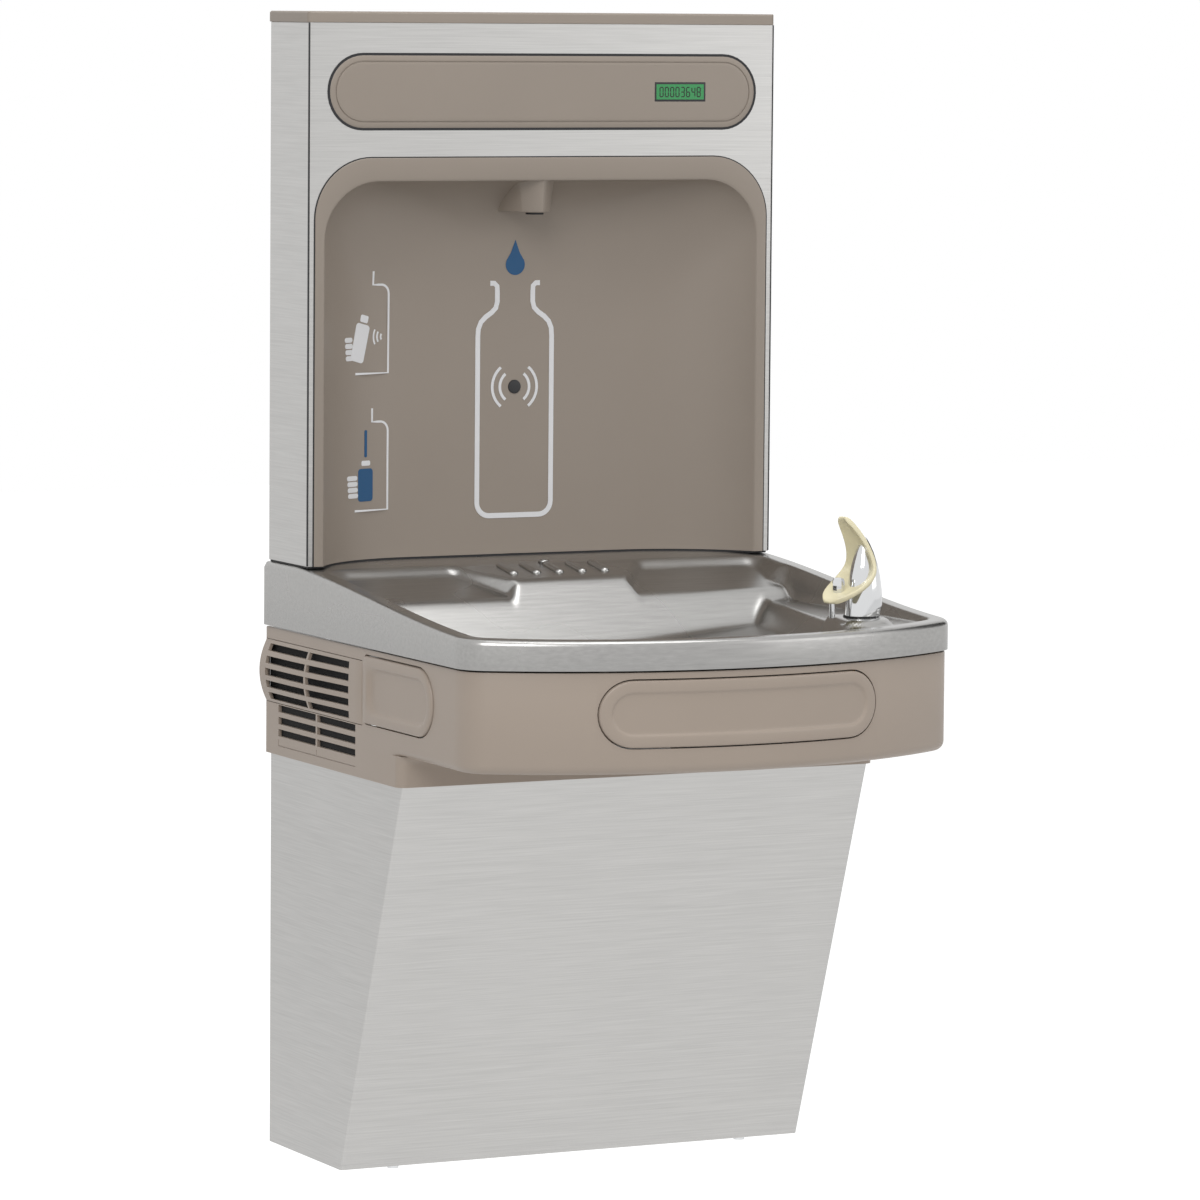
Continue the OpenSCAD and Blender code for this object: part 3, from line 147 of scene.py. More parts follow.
# Matt studio floor: painted board, no gloss worth seeing
floor_paint, tree = start_material("matt_floor_paint")
paint = add(tree, "BsdfDiffuse", {"Color": linear("#e6e6e6")})
path = add(tree, "LightPath")
mirrored = add(tree, "Math", {0: path.outputs["Is Glossy Ray"], 1: 0.45}, operation="MULTIPLY")
level = add(tree, "Math", {0: path.outputs["Is Camera Ray"], 1: 0.72, 2: mirrored.outputs[0]},
            operation="MULTIPLY_ADD")
glow = add(tree, "Emission", {"Color": linear("#ffffff"), "Strength": level.outputs[0]})
lifted = add(tree, "AddShader", {0: paint.outputs[0], 1: glow.outputs[0]})
add(tree, "OutputMaterial", {"Surface": lifted.outputs[0]})
floor.data.materials.append(floor_paint)
print("floor at", FLOOR_Z, "m")

# %% Surround and lamps
world = bpy.data.worlds.new("white_surround")
bpy.context.scene.world = world
world.use_nodes = True
tree = world.node_tree
tree.nodes.clear()
shed = add(tree, "Background", {"Color": linear("#ffffff"), "Strength": 0.5})
shown = add(tree, "Background", {"Color": linear("#ffffff"), "Strength": 1.0})
pick = add(tree, "MixShader", {"Fac": seen_rays(tree), 1: shed.outputs[0], 2: shown.outputs[0]})
add(tree, "OutputWorld", {"Surface": pick.outputs[0]})


def lamp(name, place, target, size, power):
    """A soft square lamp of that size in metres, aimed at the target."""
    data = bpy.data.lights.new(name, "AREA")
    data.size, data.energy = size, power
    soft = bpy.data.objects.new(name, data)
    bpy.context.scene.collection.objects.link(soft)
    soft.location = place
    soft.rotation_euler = (Vector(target) - Vector(place)).to_track_quat("-Z", "Y").to_euler()


lamp("key_softbox", (-1.9, -2.6, 2.4), (0, -0.15, 0.55), 1.6, 34)
lamp("fill_softbox", (2.3, -2.4, 1.5), (0, -0.15, 0.5), 1.8, 9)
lamp("top_softbox", (0.2, -0.9, 3.0), (0, -0.2, 0.5), 1.4, 18)

# A black card on the right gives the chrome and the steel something dark to mirror
card = flat_square("black_card", 0.45, (1.5, -0.15, 1.15), Matrix.Rotation(math.pi / 2, 4, "Y"))
card.visible_camera = card.visible_diffuse = card.visible_shadow = False
card_paint, tree = start_material("black_studio_felt")
felt_skin = add(tree, "BsdfDiffuse", {"Color": linear("#0a0a0a")})
add(tree, "OutputMaterial", {"Surface": felt_skin.outputs[0]})
card.data.materials.append(card_paint)

# %% [markdown]
# ## Brushed stainless steel
# Type 304 sheet with a number 4 finish: an abrasive belt leaves fine parallel scratches, so the
# sheet has long level streaks and its highlights spread across them. A noise that is squeezed to
# about a millimetre up and down and stretched along the belt draws the streaks. Real ones are a
# tenth of that, and are drawn as coarse as the picture can show. Tall faces are brushed level.

# %% Brushed steel
def brushed_steel(name, colour, streak, rough=0.3, depth=0.05):
    """Sheet steel, its streaks so many millimetres long along each axis."""
    material, tree = start_material(name)
    where = add(tree, "TexCoord")
    squeeze = add(tree, "Mapping", {"Vector": where.outputs["Object"],
                                    "Scale": [1000 / length for length in streak]})
    fine = add(tree, "TexNoise", {"Vector": squeeze.outputs[0], "Scale": 1.0, "Detail": 3.0,
                                  "Roughness": 0.6})
    broad = add(tree, "TexNoise", {"Vector": where.outputs["Object"], "Scale": 5.0, "Detail": 1.0})
    tint = add(tree, "ValToRGB", {"Fac": fine.outputs[0]})
    tint.color_ramp.elements[0].position, tint.color_ramp.elements[1].position = 0.25, 0.75
    base = linear(colour)
    tint.color_ramp.elements[0].color = [c * 0.9 for c in base[:3]] + [1]
    tint.color_ramp.elements[1].color = [min(1, c * 1.07) for c in base[:3]] + [1]
    haze = add(tree, "MapRange", {"Value": broad.outputs[0], "To Min": rough - 0.04, "To Max": rough + 0.05})
    scratches = add(tree, "Bump", {"Height": fine.outputs[0], "Strength": depth, "Distance": 0.0002})
    steel = add(tree, "BsdfPrincipled", {
        "Base Color": tint.outputs[0], "Metallic": 1.0, "Roughness": haze.outputs[0],
        "Normal": scratches.outputs[0]})
    add(tree, "OutputMaterial", {"Surface": steel.outputs[0]})
    return material


# Upright sheet: streaks 70 mm long and about 1 mm high
sheet_steel = brushed_steel("brushed_304_sheet", "#bfbebc", (70, 70, 1.1))
# Pressed basin: drawn after brushing, so the streaks are softer and run from side to side
basin_steel = brushed_steel("pressed_304_basin", "#a8a7a5", (40, 2.5, 2.5), rough=0.27, depth=0.004)
print(sheet_steel.name, basin_steel.name)

# %% [markdown]
# ## Moulded plastics and rubber
# The trim is ABS with a spark eroded texture: a grain of about half a millimetre that breaks the
# gloss without showing its colour. The guard is a soft thermoplastic rubber with a dull, even skin,
# and the tubes are polyethylene, which lets a little light in. One recipe serves them all: a slight
# mottle, a fine grain, a skin gloss.

# %% Moulded plastic
def moulded(name, colour, rough, grain=0.5, depth=0.25, soft=0.0, mottle=0.03):
    """Injection moulded plastic or rubber with a grain of that many millimetres."""
    material, tree = start_material(name)
    where = add(tree, "TexCoord")
    fine = add(tree, "TexNoise", {"Vector": where.outputs["Object"], "Scale": 1000 / grain, "Detail": 1.0})
    broad = add(tree, "TexNoise", {"Vector": where.outputs["Object"], "Scale": 14.0, "Detail": 2.0})
    base = linear(colour)
    tint = add(tree, "ValToRGB", {"Fac": broad.outputs[0]})
    tint.color_ramp.elements[0].color = [c * (1 - mottle) for c in base[:3]] + [1]
    tint.color_ramp.elements[1].color = [min(1, c * (1 + mottle)) for c in base[:3]] + [1]
    gloss = add(tree, "MapRange", {"Value": fine.outputs[0], "To Min": rough - 0.05, "To Max": rough + 0.05})
    skin = add(tree, "Bump", {"Height": fine.outputs[0], "Strength": depth, "Distance": 0.0001})
    plastic = add(tree, "BsdfPrincipled", {
        "Base Color": tint.outputs[0], "Roughness": gloss.outputs[0], "IOR": 1.53,
        "Normal": skin.outputs[0], "Subsurface Weight": soft, "Subsurface Scale": 0.004})
    add(tree, "OutputMaterial", {"Surface": plastic.outputs[0]})
    return material


# Tower trim: moulded ABS, a greyed tan that the grain keeps from shining
tower_abs = moulded("textured_tan_abs", "#988d82", 0.42)
# Apron and push caps: the same plastic from a smoother mould, a little warmer and glossier
apron_abs = moulded("textured_warm_abs", "#ac9e91", 0.38)
# Seals: extruded EPDM rubber, dull and nearly black. The same black also paints the shade in the tower's
# joints and round the alcove's flange
black_seal_and_shade = moulded("black_epdm_seal_and_gap_shade", "#17171a", 0.6, grain=1.0)
# Guard: moulded rubber, cream and almost without grain
guard_rubber = moulded("cream_tpe_guard", "#f3eac6", 0.42, grain=3.0, depth=0.03, mottle=0.01)
# Housings of the electrics: black moulded ABS with a low sheen
black_box = moulded("black_abs_housing", "#1c1c1f", 0.45)
# Tubes, fan and small fittings: polyethylene, waxy and a little see-through
white_tube = moulded("white_polyethylene", "#e4e4e0", 0.4, soft=0.1)
print(tower_abs.name, apron_abs.name, guard_rubber.name)

# %% [markdown]
# ## Bright metal, zinc and paint
# The bubbler is chromed brass, polished before plating, so it mirrors with hardly a blur. The frame
# behind the sheets is galvanised steel: hot zinc freezes in flat crystals, the spangle, a few
# millimetres wide, which a Voronoi pattern draws. The compressor is enamelled black.

# %% Plated, galvanised and painted metal
def metal(name, colour, rough, spangle=0.0, contrast=0.0):
    """A metal, with crystals of that many millimetres where it is galvanised."""
    material, tree = start_material(name)
    where = add(tree, "TexCoord")
    base = linear(colour)
    if spangle:
        pattern = add(tree, "TexVoronoi", {"Vector": where.outputs["Object"], "Scale": 1000 / spangle})
        value = add(tree, "SeparateColor", {"Color": pattern.outputs["Color"]}).outputs[0]
    else:
        cloud = add(tree, "TexNoise", {"Vector": where.outputs["Object"], "Scale": 60.0, "Detail": 2.0})
        value = cloud.outputs[0]
    tint = add(tree, "ValToRGB", {"Fac": value})
    tint.color_ramp.elements[0].color = [c * (1 - contrast) for c in base[:3]] + [1]
    tint.color_ramp.elements[1].color = [min(1, c * (1 + contrast)) for c in base[:3]] + [1]
    haze = add(tree, "MapRange", {"Value": value, "To Min": rough, "To Max": rough + 0.06})
    surface = add(tree, "BsdfPrincipled", {
        "Base Color": tint.outputs[0], "Metallic": 1.0, "Roughness": haze.outputs[0]})
    add(tree, "OutputMaterial", {"Surface": surface.outputs[0]})
    return material


# Chrome: polished and plated brass, a cold bright mirror
chrome = metal("polished_chrome_plate", "#d9dadb", 0.04, contrast=0.02)
# Zinc: hot dipped sheet, its spangle 9 mm wide so that it shows in the picture
zinc = metal("galvanised_sheet", "#b4b8ba", 0.35, spangle=9, contrast=0.14)
# Copper and brass: drawn and cast, softly clouded where they were handled
copper = metal("drawn_copper", "#c88a63", 0.28, contrast=0.1)
brass = metal("cast_brass", "#c2a564", 0.35, contrast=0.1)
# Condenser fins: thin rolled aluminium with a satin look
aluminium = metal("folded_aluminium_fin", "#c5c7c9", 0.4, contrast=0.05)
# Compressor: stoved enamel, glossy with a slight orange peel
enamel = moulded("black_stove_enamel", "#202022", 0.3, grain=1.2, depth=0.1)
# Control board: glass fibre under a green solder mask, smooth and shiny
board_green = moulded("solder_mask_board", "#1f5a3a", 0.35, grain=1.5, depth=0.1)
# Tank's insulation: blown foam, matt and pitted
foam_white = moulded("blown_white_foam", "#dcdad2", 0.8, grain=2.5, depth=0.5)
print(chrome.name, zinc.name, enamel.name)

# %% [markdown]
# ## Making a piece
# Every piece is a bmesh that is written to a mesh, so one helper does the rest: it marks the edges
# that stay crisp, shades the others smooth, and says which body the piece rides on, which CAD nodes
# it stands for and which finish it takes. Sections are joined by bridging rings of points.

# %% Piece and ring helpers
def make_piece(name, bm, material, body="station", stands_for=(), crisp=38, merge=0.00002,
               outward=True):
    """Turns the bmesh into a finished object with its place in its mesh."""
    bmesh.ops.remove_doubles(bm, verts=bm.verts, dist=merge)
    if outward:
        bmesh.ops.recalc_face_normals(bm, faces=bm.faces)
    for face in bm.faces:
        face.smooth = True
    for edge in bm.edges:
        edge.smooth = not (edge.is_manifold and edge.calc_face_angle(0) > math.radians(crisp))
    mesh = bpy.data.meshes.new(name)
    bm.to_mesh(mesh)
    bm.free()
    mesh.materials.append(material)
    piece = bpy.data.objects.new(name, mesh)
    bpy.context.scene.collection.objects.link(piece)
    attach(piece, body)
    if stands_for:
        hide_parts(*stands_for)
    triangles = sum(len(p.vertices) - 2 for p in mesh.polygons)
    print(f"{name}: {triangles} triangles, {[round(v * 1000, 1) for v in piece.dimensions]} mm")
    return piece


def ring_of(bm, points, closed=True):
    """Edges through the points, which are in millimetres."""
    verts = [bm.verts.new(Vector(p) * MM) for p in points]
    return [bm.edges.new(pair) for pair in zip(verts, verts[1:] + (verts[:1] if closed else []))]


def loft(bm, rings, closed=True, capped=False):
    """Bridges each ring of points with the next, and fills the first and last if it is capped."""
    loops = [ring_of(bm, ring, closed) for ring in rings]
    for one, two in zip(loops, loops[1:]):
        bmesh.ops.bridge_loops(bm, edges=one + two)
    if capped:
        for loop in (loops[0], loops[-1]):
            bmesh.ops.triangle_fill(bm, use_beauty=True, edges=loop)
    return loops


def ease(t):
    """0 below 0, 1 above 1, and a smooth S between them."""
    t = max(0.0, min(1.0, t))
    return t * t * (3 - 2 * t)


def arc(centre, radius, start, end, count):
    """Points on an arc, its angles in degrees."""
    return [(centre[0] + radius * math.cos(math.radians(start + (end - start) * i / count)),
             centre[1] + radius * math.sin(math.radians(start + (end - start) * i / count)))
            for i in range(count + 1)]


print("arc test:", arc((0, 0), 1, 0, 90, 1))

# %% [markdown]
# ## Cutting and softening
# Openings are cut the way a toolmaker would sink them: a solid in the shape of the opening is taken
# away with a Boolean. A copy of a CAD mesh is loose triangles, so it is merged, its flat
# faces are joined, and its sharp edges get a small bevel, which is what catches the light.

# %% Boolean and bevel helpers
def block(bm, low, high):
    """Adds a box between two corners in millimetres."""
    size = Vector(high) - Vector(low)
    verts = bmesh.ops.create_cube(bm, size=1)["verts"]
    for vert in verts:
        vert.co = (Vector(low) + Vector((vert.co[i] + 0.5) * size[i] for i in range(3))) * MM


def carve(body, cutter, how="DIFFERENCE"):
    """Takes the cutter's solids away from the body, or adds them to it, and returns a new bmesh."""
    objects = []
    for bm in (body, cutter):
        bmesh.ops.recalc_face_normals(bm, faces=bm.faces)
        mesh = bpy.data.meshes.new("blank")
        bm.to_mesh(mesh)
        bm.free()
        objects.append(bpy.data.objects.new("blank", mesh))
        bpy.context.scene.collection.objects.link(objects[-1])
    cut = objects[0].modifiers.new("cut", "BOOLEAN")
    cut.object, cut.operation, cut.solver, cut.use_self = objects[1], how, "EXACT", True
    carved = bmesh.new()
    evaluated = objects[0].evaluated_get(bpy.context.evaluated_depsgraph_get())
    carved.from_mesh(evaluated.to_mesh())
    evaluated.to_mesh_clear()
    for blank in objects:
        mesh = blank.data
        bpy.data.objects.remove(blank)
        bpy.data.meshes.remove(mesh)
    return carved


def side_block(bm, side, reach, low, high):
    """Adds a box on one side of the station: two distances from the middle, two (y, z) corners."""
    xs = sorted(side * x for x in reach)
    block(bm, (xs[0], *low), (xs[1], *high))


def face_viewer(bm):
    """Turns the faces of a flat mark or strip to the front."""
    for face in bm.faces:
        if face.normal.y > 0:
            face.normal_flip()


def copied(name):
    """A bmesh of a CAD node, merged and with its flat faces joined."""
    bm = bmesh.new()
    bm.from_mesh(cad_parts[name].data)
    bmesh.ops.remove_doubles(bm, verts=bm.verts, dist=0.00001)
    bmesh.ops.dissolve_limit(bm, angle_limit=math.radians(0.6), verts=bm.verts, edges=bm.edges)
    return bm


SHARP = math.radians(40)


def soften(bm, width, chosen=lambda edge: True, segments=3):
    """Bevels the chosen edges that are sharp, by a width in millimetres."""
    sharp = [e for e in bm.edges if e.is_manifold and e.calc_face_angle(0) > SHARP and chosen(e)]
    bmesh.ops.bevel(bm, geom=sharp, offset=width * MM, offset_type="OFFSET", affect="EDGES",
                    segments=segments, profile=0.5, clamp_overlap=True, material=-1)
    return bm


print("edges over", round(math.degrees(SHARP)), "degrees are softened")

# %% [markdown]
# ## The basin
# The basin is one stainless sheet, deep drawn in a press: its edge rolls over a 5 mm radius, a flat
# rim runs round it, and inside lie two shelves, a ribbed pad, the bowl and the bubbler's deck.
# A pressed sheet is one skin with soft corners, so it is a single grid that is laid on the outline
# ring by ring, with its height set by a short list of smooth steps, as the press would push it.

# %% Outline of the basin
# Half width, depth, radius of the bowed front and radius of the front corners, in millimetres
HALF, DEPTH, ROUND, CORNER = 231.5, 484.5, 418, 32
# The bowed front's centre
MIDDLE_Y = ROUND - DEPTH


def outline_point(inset, back, side, along):
    """Point on the outline drawn in by an inset: side -1 or 1 and along -1 back to 1 front, or side 0
    and along -1 left to 1 right on the front."""
    w, r = HALF - inset, ROUND - inset
    f = min(max(CORNER - inset, CORNER / 4), max(w, 0.01))
    fx = w - f
    lean = math.asin(fx / (r - f))
    fy = MIDDLE_Y - (r - f) * math.cos(lean)
    turn = (math.pi / 2 - lean) / 2
    if side:
        straight = -fy - back
        go = (along + 1) / 2 * (straight + f * turn)
        if go <= straight:
            return side * w, -back - go
        angle = (go - straight) / f
        return side * (fx + f * math.cos(angle)), fy - f * math.sin(angle)
    front = r * lean
    go = abs(along) * (front + f * turn)
    if go <= front:
        x, y = r * math.sin(go / r), MIDDLE_Y - r * math.cos(go / r)
    else:
        angle = math.pi / 2 - lean - (go - front) / f
        x, y = fx + f * math.cos(angle), fy - f * math.sin(angle)
    return math.copysign(x, along), y


def edge_distance(x, y):
    """How far a point lies inside the basin's sides and front."""
    fx = HALF - CORNER
    fy = MIDDLE_Y - math.sqrt((ROUND - CORNER) ** 2 - fx ** 2)
    lean = math.atan2(fx, MIDDLE_Y - fy)
    away = math.atan2(abs(x), MIDDLE_Y - y)
    if abs(x) > fx and y < fy and away > lean:
        return CORNER - math.hypot(abs(x) - fx, y - fy)
    return min(HALF - abs(x), ROUND - math.hypot(x, y - MIDDLE_Y))


print("front middle:", outline_point(0, 0, 0, 0.0))
print("corner:", [round(v, 1) for v in outline_point(0, 0, 1, 1)])

# %% Heights of the pressed skin
# Heights in millimetres: the rim in front, its rise to the tower and its limit there
RIM_FRONT, RIM_RISE, RIM_TOP = 487, 32.5, 518.0
# The bowl's lowest floor, the rise of that floor to the right, and the bubbler's deck
BOWL_Z, BOWL_RISE, DECK_Z = 440, 26, 483.0
# The bubbler's y, and its boss's x
BUBBLER_Y, BOSS_X = -380, 150
# Width of the flat rim, how far from the wall the inner field begins, and the radius of its corners
RIM_SIDE, RIM_BACK, RIM_BEND = 14.5, 85, 24
# Radius of the rolled edge, the skirt's lower edge and the sheet's gauge
ROLL, SKIRT_LOW, GAUGE = 5, 462, 1.2


def rim_height(y):
    """Height of the rim: level at the tower, falling in an S to the front."""
    fall = min(1, -y / (DEPTH - CORNER * 0.7))
    return min(RIM_TOP, RIM_FRONT + RIM_RISE * (1 + math.cos(math.pi * fall)) / 2)


def blend_low(one, two, round_off):
    """The lower of two heights, with the crossing rounded off."""
    near = max(round_off - abs(one - two), 0) / round_off
    return min(one, two) - near * near * round_off / 4


def pad_height(depth):
    """Height of the ribbed pad, which slopes gently to the bowl."""
    return 516 - (depth - 88) * 8.5 / 55


def inner_height(x, y):
    """Height of the skin inside the rim."""
    depth = -y
    # Two shelves slope to the bowl, and the pad between them is wider at the tower
    shelf = 510.5 - (depth - 90) * 19 / 66
    pad_half = 54.5 + 40 * max(0.0, min(1.0, (143 - depth) / 59))
    on_pad = ease((pad_half - abs(x) + 9) / 12)
    high = shelf + (pad_height(depth) - shelf) * on_pad
    # The bowl's floor rises to the right, where a slanted step leads up to the deck
    deck_edge = 178 - (depth - 162) * 68 / 322
    bowl = BOWL_Z + BOWL_RISE * max(0.0, min(1.0, (x + 76) / 254))
    on_deck = ease((x - deck_edge + 12) / 22)
    low = bowl + (DECK_Z - bowl) * on_deck
    # A low boss carries the bubbler, and a shallow well takes the strainer
    boss = ease((39 - math.hypot(x - BOSS_X, y - BUBBLER_Y)) / 10) * 6 * ease((depth - 150) / 20)
    well = 3 * ease((17 - math.hypot(x + 110, y + 235)) / 1.5)
    # One steep wall falls from the shelves to the bowl
    wall = blend_low(high, 491 - (depth - 156) * 1.23, 7)
    return -blend_low(-wall, -low, 14) + boss - well


def skin_height(x, y):
    """Height of the whole skin."""
    edge = edge_distance(x, y)
    rim = rim_height(y)
    from_side, from_back = edge - RIM_SIDE, -y - RIM_BACK
    if from_side < RIM_BEND and from_back < RIM_BEND:
        inside = RIM_BEND - math.hypot(RIM_BEND - from_side, RIM_BEND - from_back)
    else:
        inside = min(from_side, from_back)
    inner = inner_height(x, y)
    drop = max(rim - inner, 0)
    cove = 5 + 0.22 * drop + 9 * ease((150 + y) / 20)
    z = rim + (inner - rim) * ease(inside / cove)
    if edge < ROLL:
        z -= ROLL - math.sqrt(max(0, ROLL ** 2 - (ROLL - edge) ** 2))
    return z


print("rim at the tower, halfway and in front:", [round(rim_height(y), 1) for y in (-90, -240, -484)])
print("bowl:", round(skin_height(-110, -300), 1))

# %% Press the sheet
# The first rings lie close together, where the edge rolls and the rim turns down into the cove
cells = 100
LAST_INSET, LAST_BACK, CENTRE_BACK = 24.5, 91.5, 253
rim_insets = [0, 0.4, 1.5, 3.1, 5, 8, 11, 13.5, 14.6, 15.6, 16.7, 18, 19.4, 21, 22.7, LAST_INSET]
rim_backs = [0, 6, 16, 28, 40, 52, 64, 74, 80, 83.7, 85, 86.2, 87.4, 88.7, 90, LAST_BACK]
steps = cells - len(rim_insets) + 1
insets = rim_insets + [LAST_INSET + (HALF - 0.02 - LAST_INSET) * i / steps for i in range(1, steps + 1)]
backs = rim_backs + [LAST_BACK + (CENTRE_BACK - LAST_BACK) * i / steps for i in range(1, steps + 1)]

bm = bmesh.new()
bmesh.ops.create_grid(bm, x_segments=2 * cells, y_segments=2 * cells, size=cells)
for vert in bm.verts:
    across, down = round(vert.co.x), round(-vert.co.y)
    ring = max(abs(across), abs(down))
    inset, back = insets[cells - ring], backs[cells - ring]
    if ring == 0:
        x, y = 0, -backs[-1]
    elif abs(across) == ring and across:
        x, y = outline_point(inset, back, across / ring, down / ring)
    elif down == ring:
        x, y = outline_point(inset, back, 0, across / ring)
    else:
        x, y = (HALF - inset) * across / ring, -back
    vert.co = Vector((x, y, skin_height(x, y))) * MM
print("pressed skin:", len(bm.faces), "faces")

# %% Turn the skirt down, thicken the sheet, add the ribs and a screw
RIBS, RIB_PITCH = 5, 22.3
rim_edges = [e for e in bm.edges if e.is_boundary and min(v.co.y for v in e.verts) < -1e-6]
skirt = bmesh.ops.extrude_edge_only(bm, edges=rim_edges)["geom"]
for vert in (g for g in skirt if isinstance(g, bmesh.types.BMVert)):
    vert.co.z = SKIRT_LOW * MM
bmesh.ops.recalc_face_normals(bm, faces=bm.faces)
if sum(f.normal.z for f in bm.faces) < 0:
    bmesh.ops.reverse_faces(bm, faces=bm.faces)
bmesh.ops.solidify(bm, geom=bm.faces[:], thickness=GAUGE * MM)

for i in range(RIBS):
    rib = bmesh.ops.create_uvsphere(bm, u_segments=20, v_segments=12, radius=1)["verts"]
    for vert in rib:
        vert.co = Vector((vert.co.x * 4.6, vert.co.y * 5.5, vert.co.z * 3.2))
        if vert.co.y > 0.01:
            vert.co.y += 24
        vert.co += Vector(((i - RIBS // 2) * RIB_PITCH, -118, 0))
        vert.co.z += pad_height(-vert.co.y)
        vert.co *= MM
screw = bmesh.ops.create_uvsphere(bm, u_segments=24, v_segments=10, radius=1)["verts"]
for vert in screw:
    vert.co = Vector((vert.co.x * 5.2, vert.co.y * 5.2 - 88, vert.co.z * 2.6 + 517.5)) * MM
make_piece("pressed_basin", bm, basin_steel, stands_for=("basin_top",), outward=False,
           crisp=50)

# %% [markdown]
# ## The apron
# The apron is one large ABS moulding with a 3 mm wall. It follows the basin's outline, its front
# band ends in a rounded lip, and behind the lip it steps down to the cabinet. The band and the
# rear skirt are lofted through a few sections and joined, the inside is hollowed, and then the openings
# for the bar, the pads and the grilles are cut through the wall.

# %% The apron's plan and its two boxes
# The apron lies a little inside the basin's outline, and its wall is 3 mm
APRON_IN, WALL = 2.5, 3.0
# Heights of its top, of the front lip's underside and of the skirt's underside
TOP_Z, LIP_Z, LOW_Z = 460.5, 375, 348.6
# Front of the skirt, and the depth from which the lip's rounding fades in
SKIRT_Y, LIP_START = 282, 272
# Radius of the rounded lip, and middle height of the bar and the pads
LIP_R, BAR_Z = 8, 425.75


def apron_ring(inset, z, step=0.0, back=0.0):
    """Closed plan of the apron, drawn in by the inset, and by the step in front of the skirt only."""
    points = []
    for side, along in ([(-1, -1 + i / 20) for i in range(41)] + [(0, -1 + i / 32) for i in range(1, 64)]
                        + [(1, 1 - i / 20) for i in range(41)]):
        y = outline_point(inset, back, side, along)[1]
        x, y = outline_point(inset + step * ease((-y - LIP_START) / 14), back, side, along)
        points.append((x, y, z))
    return points


def skirt_ring(inset, z, flare=0.0, back=0.0):
    """Closed plan of the rear skirt: straight sides and two round corners, flared forward."""
    w, r, front = HALF - APRON_IN - inset, 9 - inset, SKIRT_Y - inset
    corner = [(w - r + r * math.cos(math.radians(a)), -(front - r) - (r + flare) * math.sin(math.radians(a)))
              for a in range(0, 91, 10)]
    right = [(w, -back), (w, -back - 130)] + corner
    return [(-x, y, z) for x, y in right] + [(x, y, z) for x, y in reversed(right)]


bm = bmesh.new()
lip = [(LIP_R - LIP_R * math.cos(math.radians(a)), LIP_Z + LIP_R - LIP_R * math.sin(math.radians(a)))
       for a in range(90, -1, -15)]
brim = ((0, TOP_Z - 1), (0.25, TOP_Z - 0.3), (0.9, TOP_Z))
loft(bm, [apron_ring(APRON_IN, z, step) for step, z in lip]
     + [apron_ring(APRON_IN + step, z) for step, z in brim], capped=True)
hollow = bmesh.new()
loft(hollow, [apron_ring(APRON_IN + WALL, z, back=-12) for z in (LIP_Z + WALL, TOP_Z + 5)], capped=True)
band = carve(bm, hollow)

bm = bmesh.new()
fillet = [(LIP_R - LIP_R * math.cos(math.radians(a)), LIP_Z - 7.5 + LIP_R * math.sin(math.radians(a)))
          for a in range(0, 91, 15)]
loft(bm, [skirt_ring(0, LOW_Z)] + [skirt_ring(0, z, flare) for flare, z in fillet], capped=True)
bm = carve(bm, band, "UNION")
hollow = bmesh.new()
loft(hollow, [skirt_ring(WALL, z, back=-12) for z in (LOW_Z - 5, TOP_Z + 5)], capped=True)
shell = carve(bm, hollow)
print("apron shell:", len(shell.faces), "faces")

# %% Outlines of the bar, the pads and the vents
# A side pad's upright rear, the centre of its round front, and half its height
PAD_REAR, PAD_NOSE, PAD_HALF = -211, -321, 29
# Rows of slots: first and last y, lowest z, number of rows
VENTS = {"upper": (-13, -179, 397.2, 5), "lower": (-27, -192, 365.5, 3)}
# Distance from row to row, height of a slot, and half the bar that parts two slots
SLOT_PITCH, SLOT_HIGH, SLOT_BAR = 10.7, 6.3, 1.6
# Distances from the middle between which every cutter passes through a side wall
THROUGH = (200, 245)


def stadium(width, height, inset, count=20, along=24):
    """(across, up) points of a bar with half round ends, drawn in by the inset."""
    r = max(height / 2 - inset, 0.001)
    half = width / 2 - height / 2
    steps = [half * (1 - 2 * i / along) for i in range(1, along)]
    return ([(half + a, b) for a, b in arc((0, 0), r, -90, 90, count)] + [(x, r) for x in steps]
            + [(-half + a, b) for a, b in arc((0, 0), r, 90, 270, count)] + [(-x, -r) for x in steps])


def pad_ring(inset, rear=4.0):
    """(y, z) points of a side pad: upright at the rear, half round in front."""
    back, r = PAD_REAR - inset, PAD_HALF - inset
    z = BAR_Z
    rear = min(rear, r - 0.3)
    return (arc((PAD_NOSE, z), r, 90, 270, 24) + arc((back - rear, z - r + rear), rear, 270, 360, 10)
            + arc((back - rear, z + r - rear), rear, 0, 90, 10))


def slots(bm, rows, side):
    """Boxes in the shape of the slots, two to a row."""
    start, end, low, count = VENTS[rows]
    middle = (start + end) / 2
    for i in range(count):
        z = low + i * SLOT_PITCH
        for y0, y1 in ((end, middle - SLOT_BAR), (middle + SLOT_BAR, start)):
            side_block(bm, side, THROUGH, (y0, z), (y1, z + SLOT_HIGH))


print("slots on a side:", 2 * sum(rows[3] for rows in VENTS.values()))

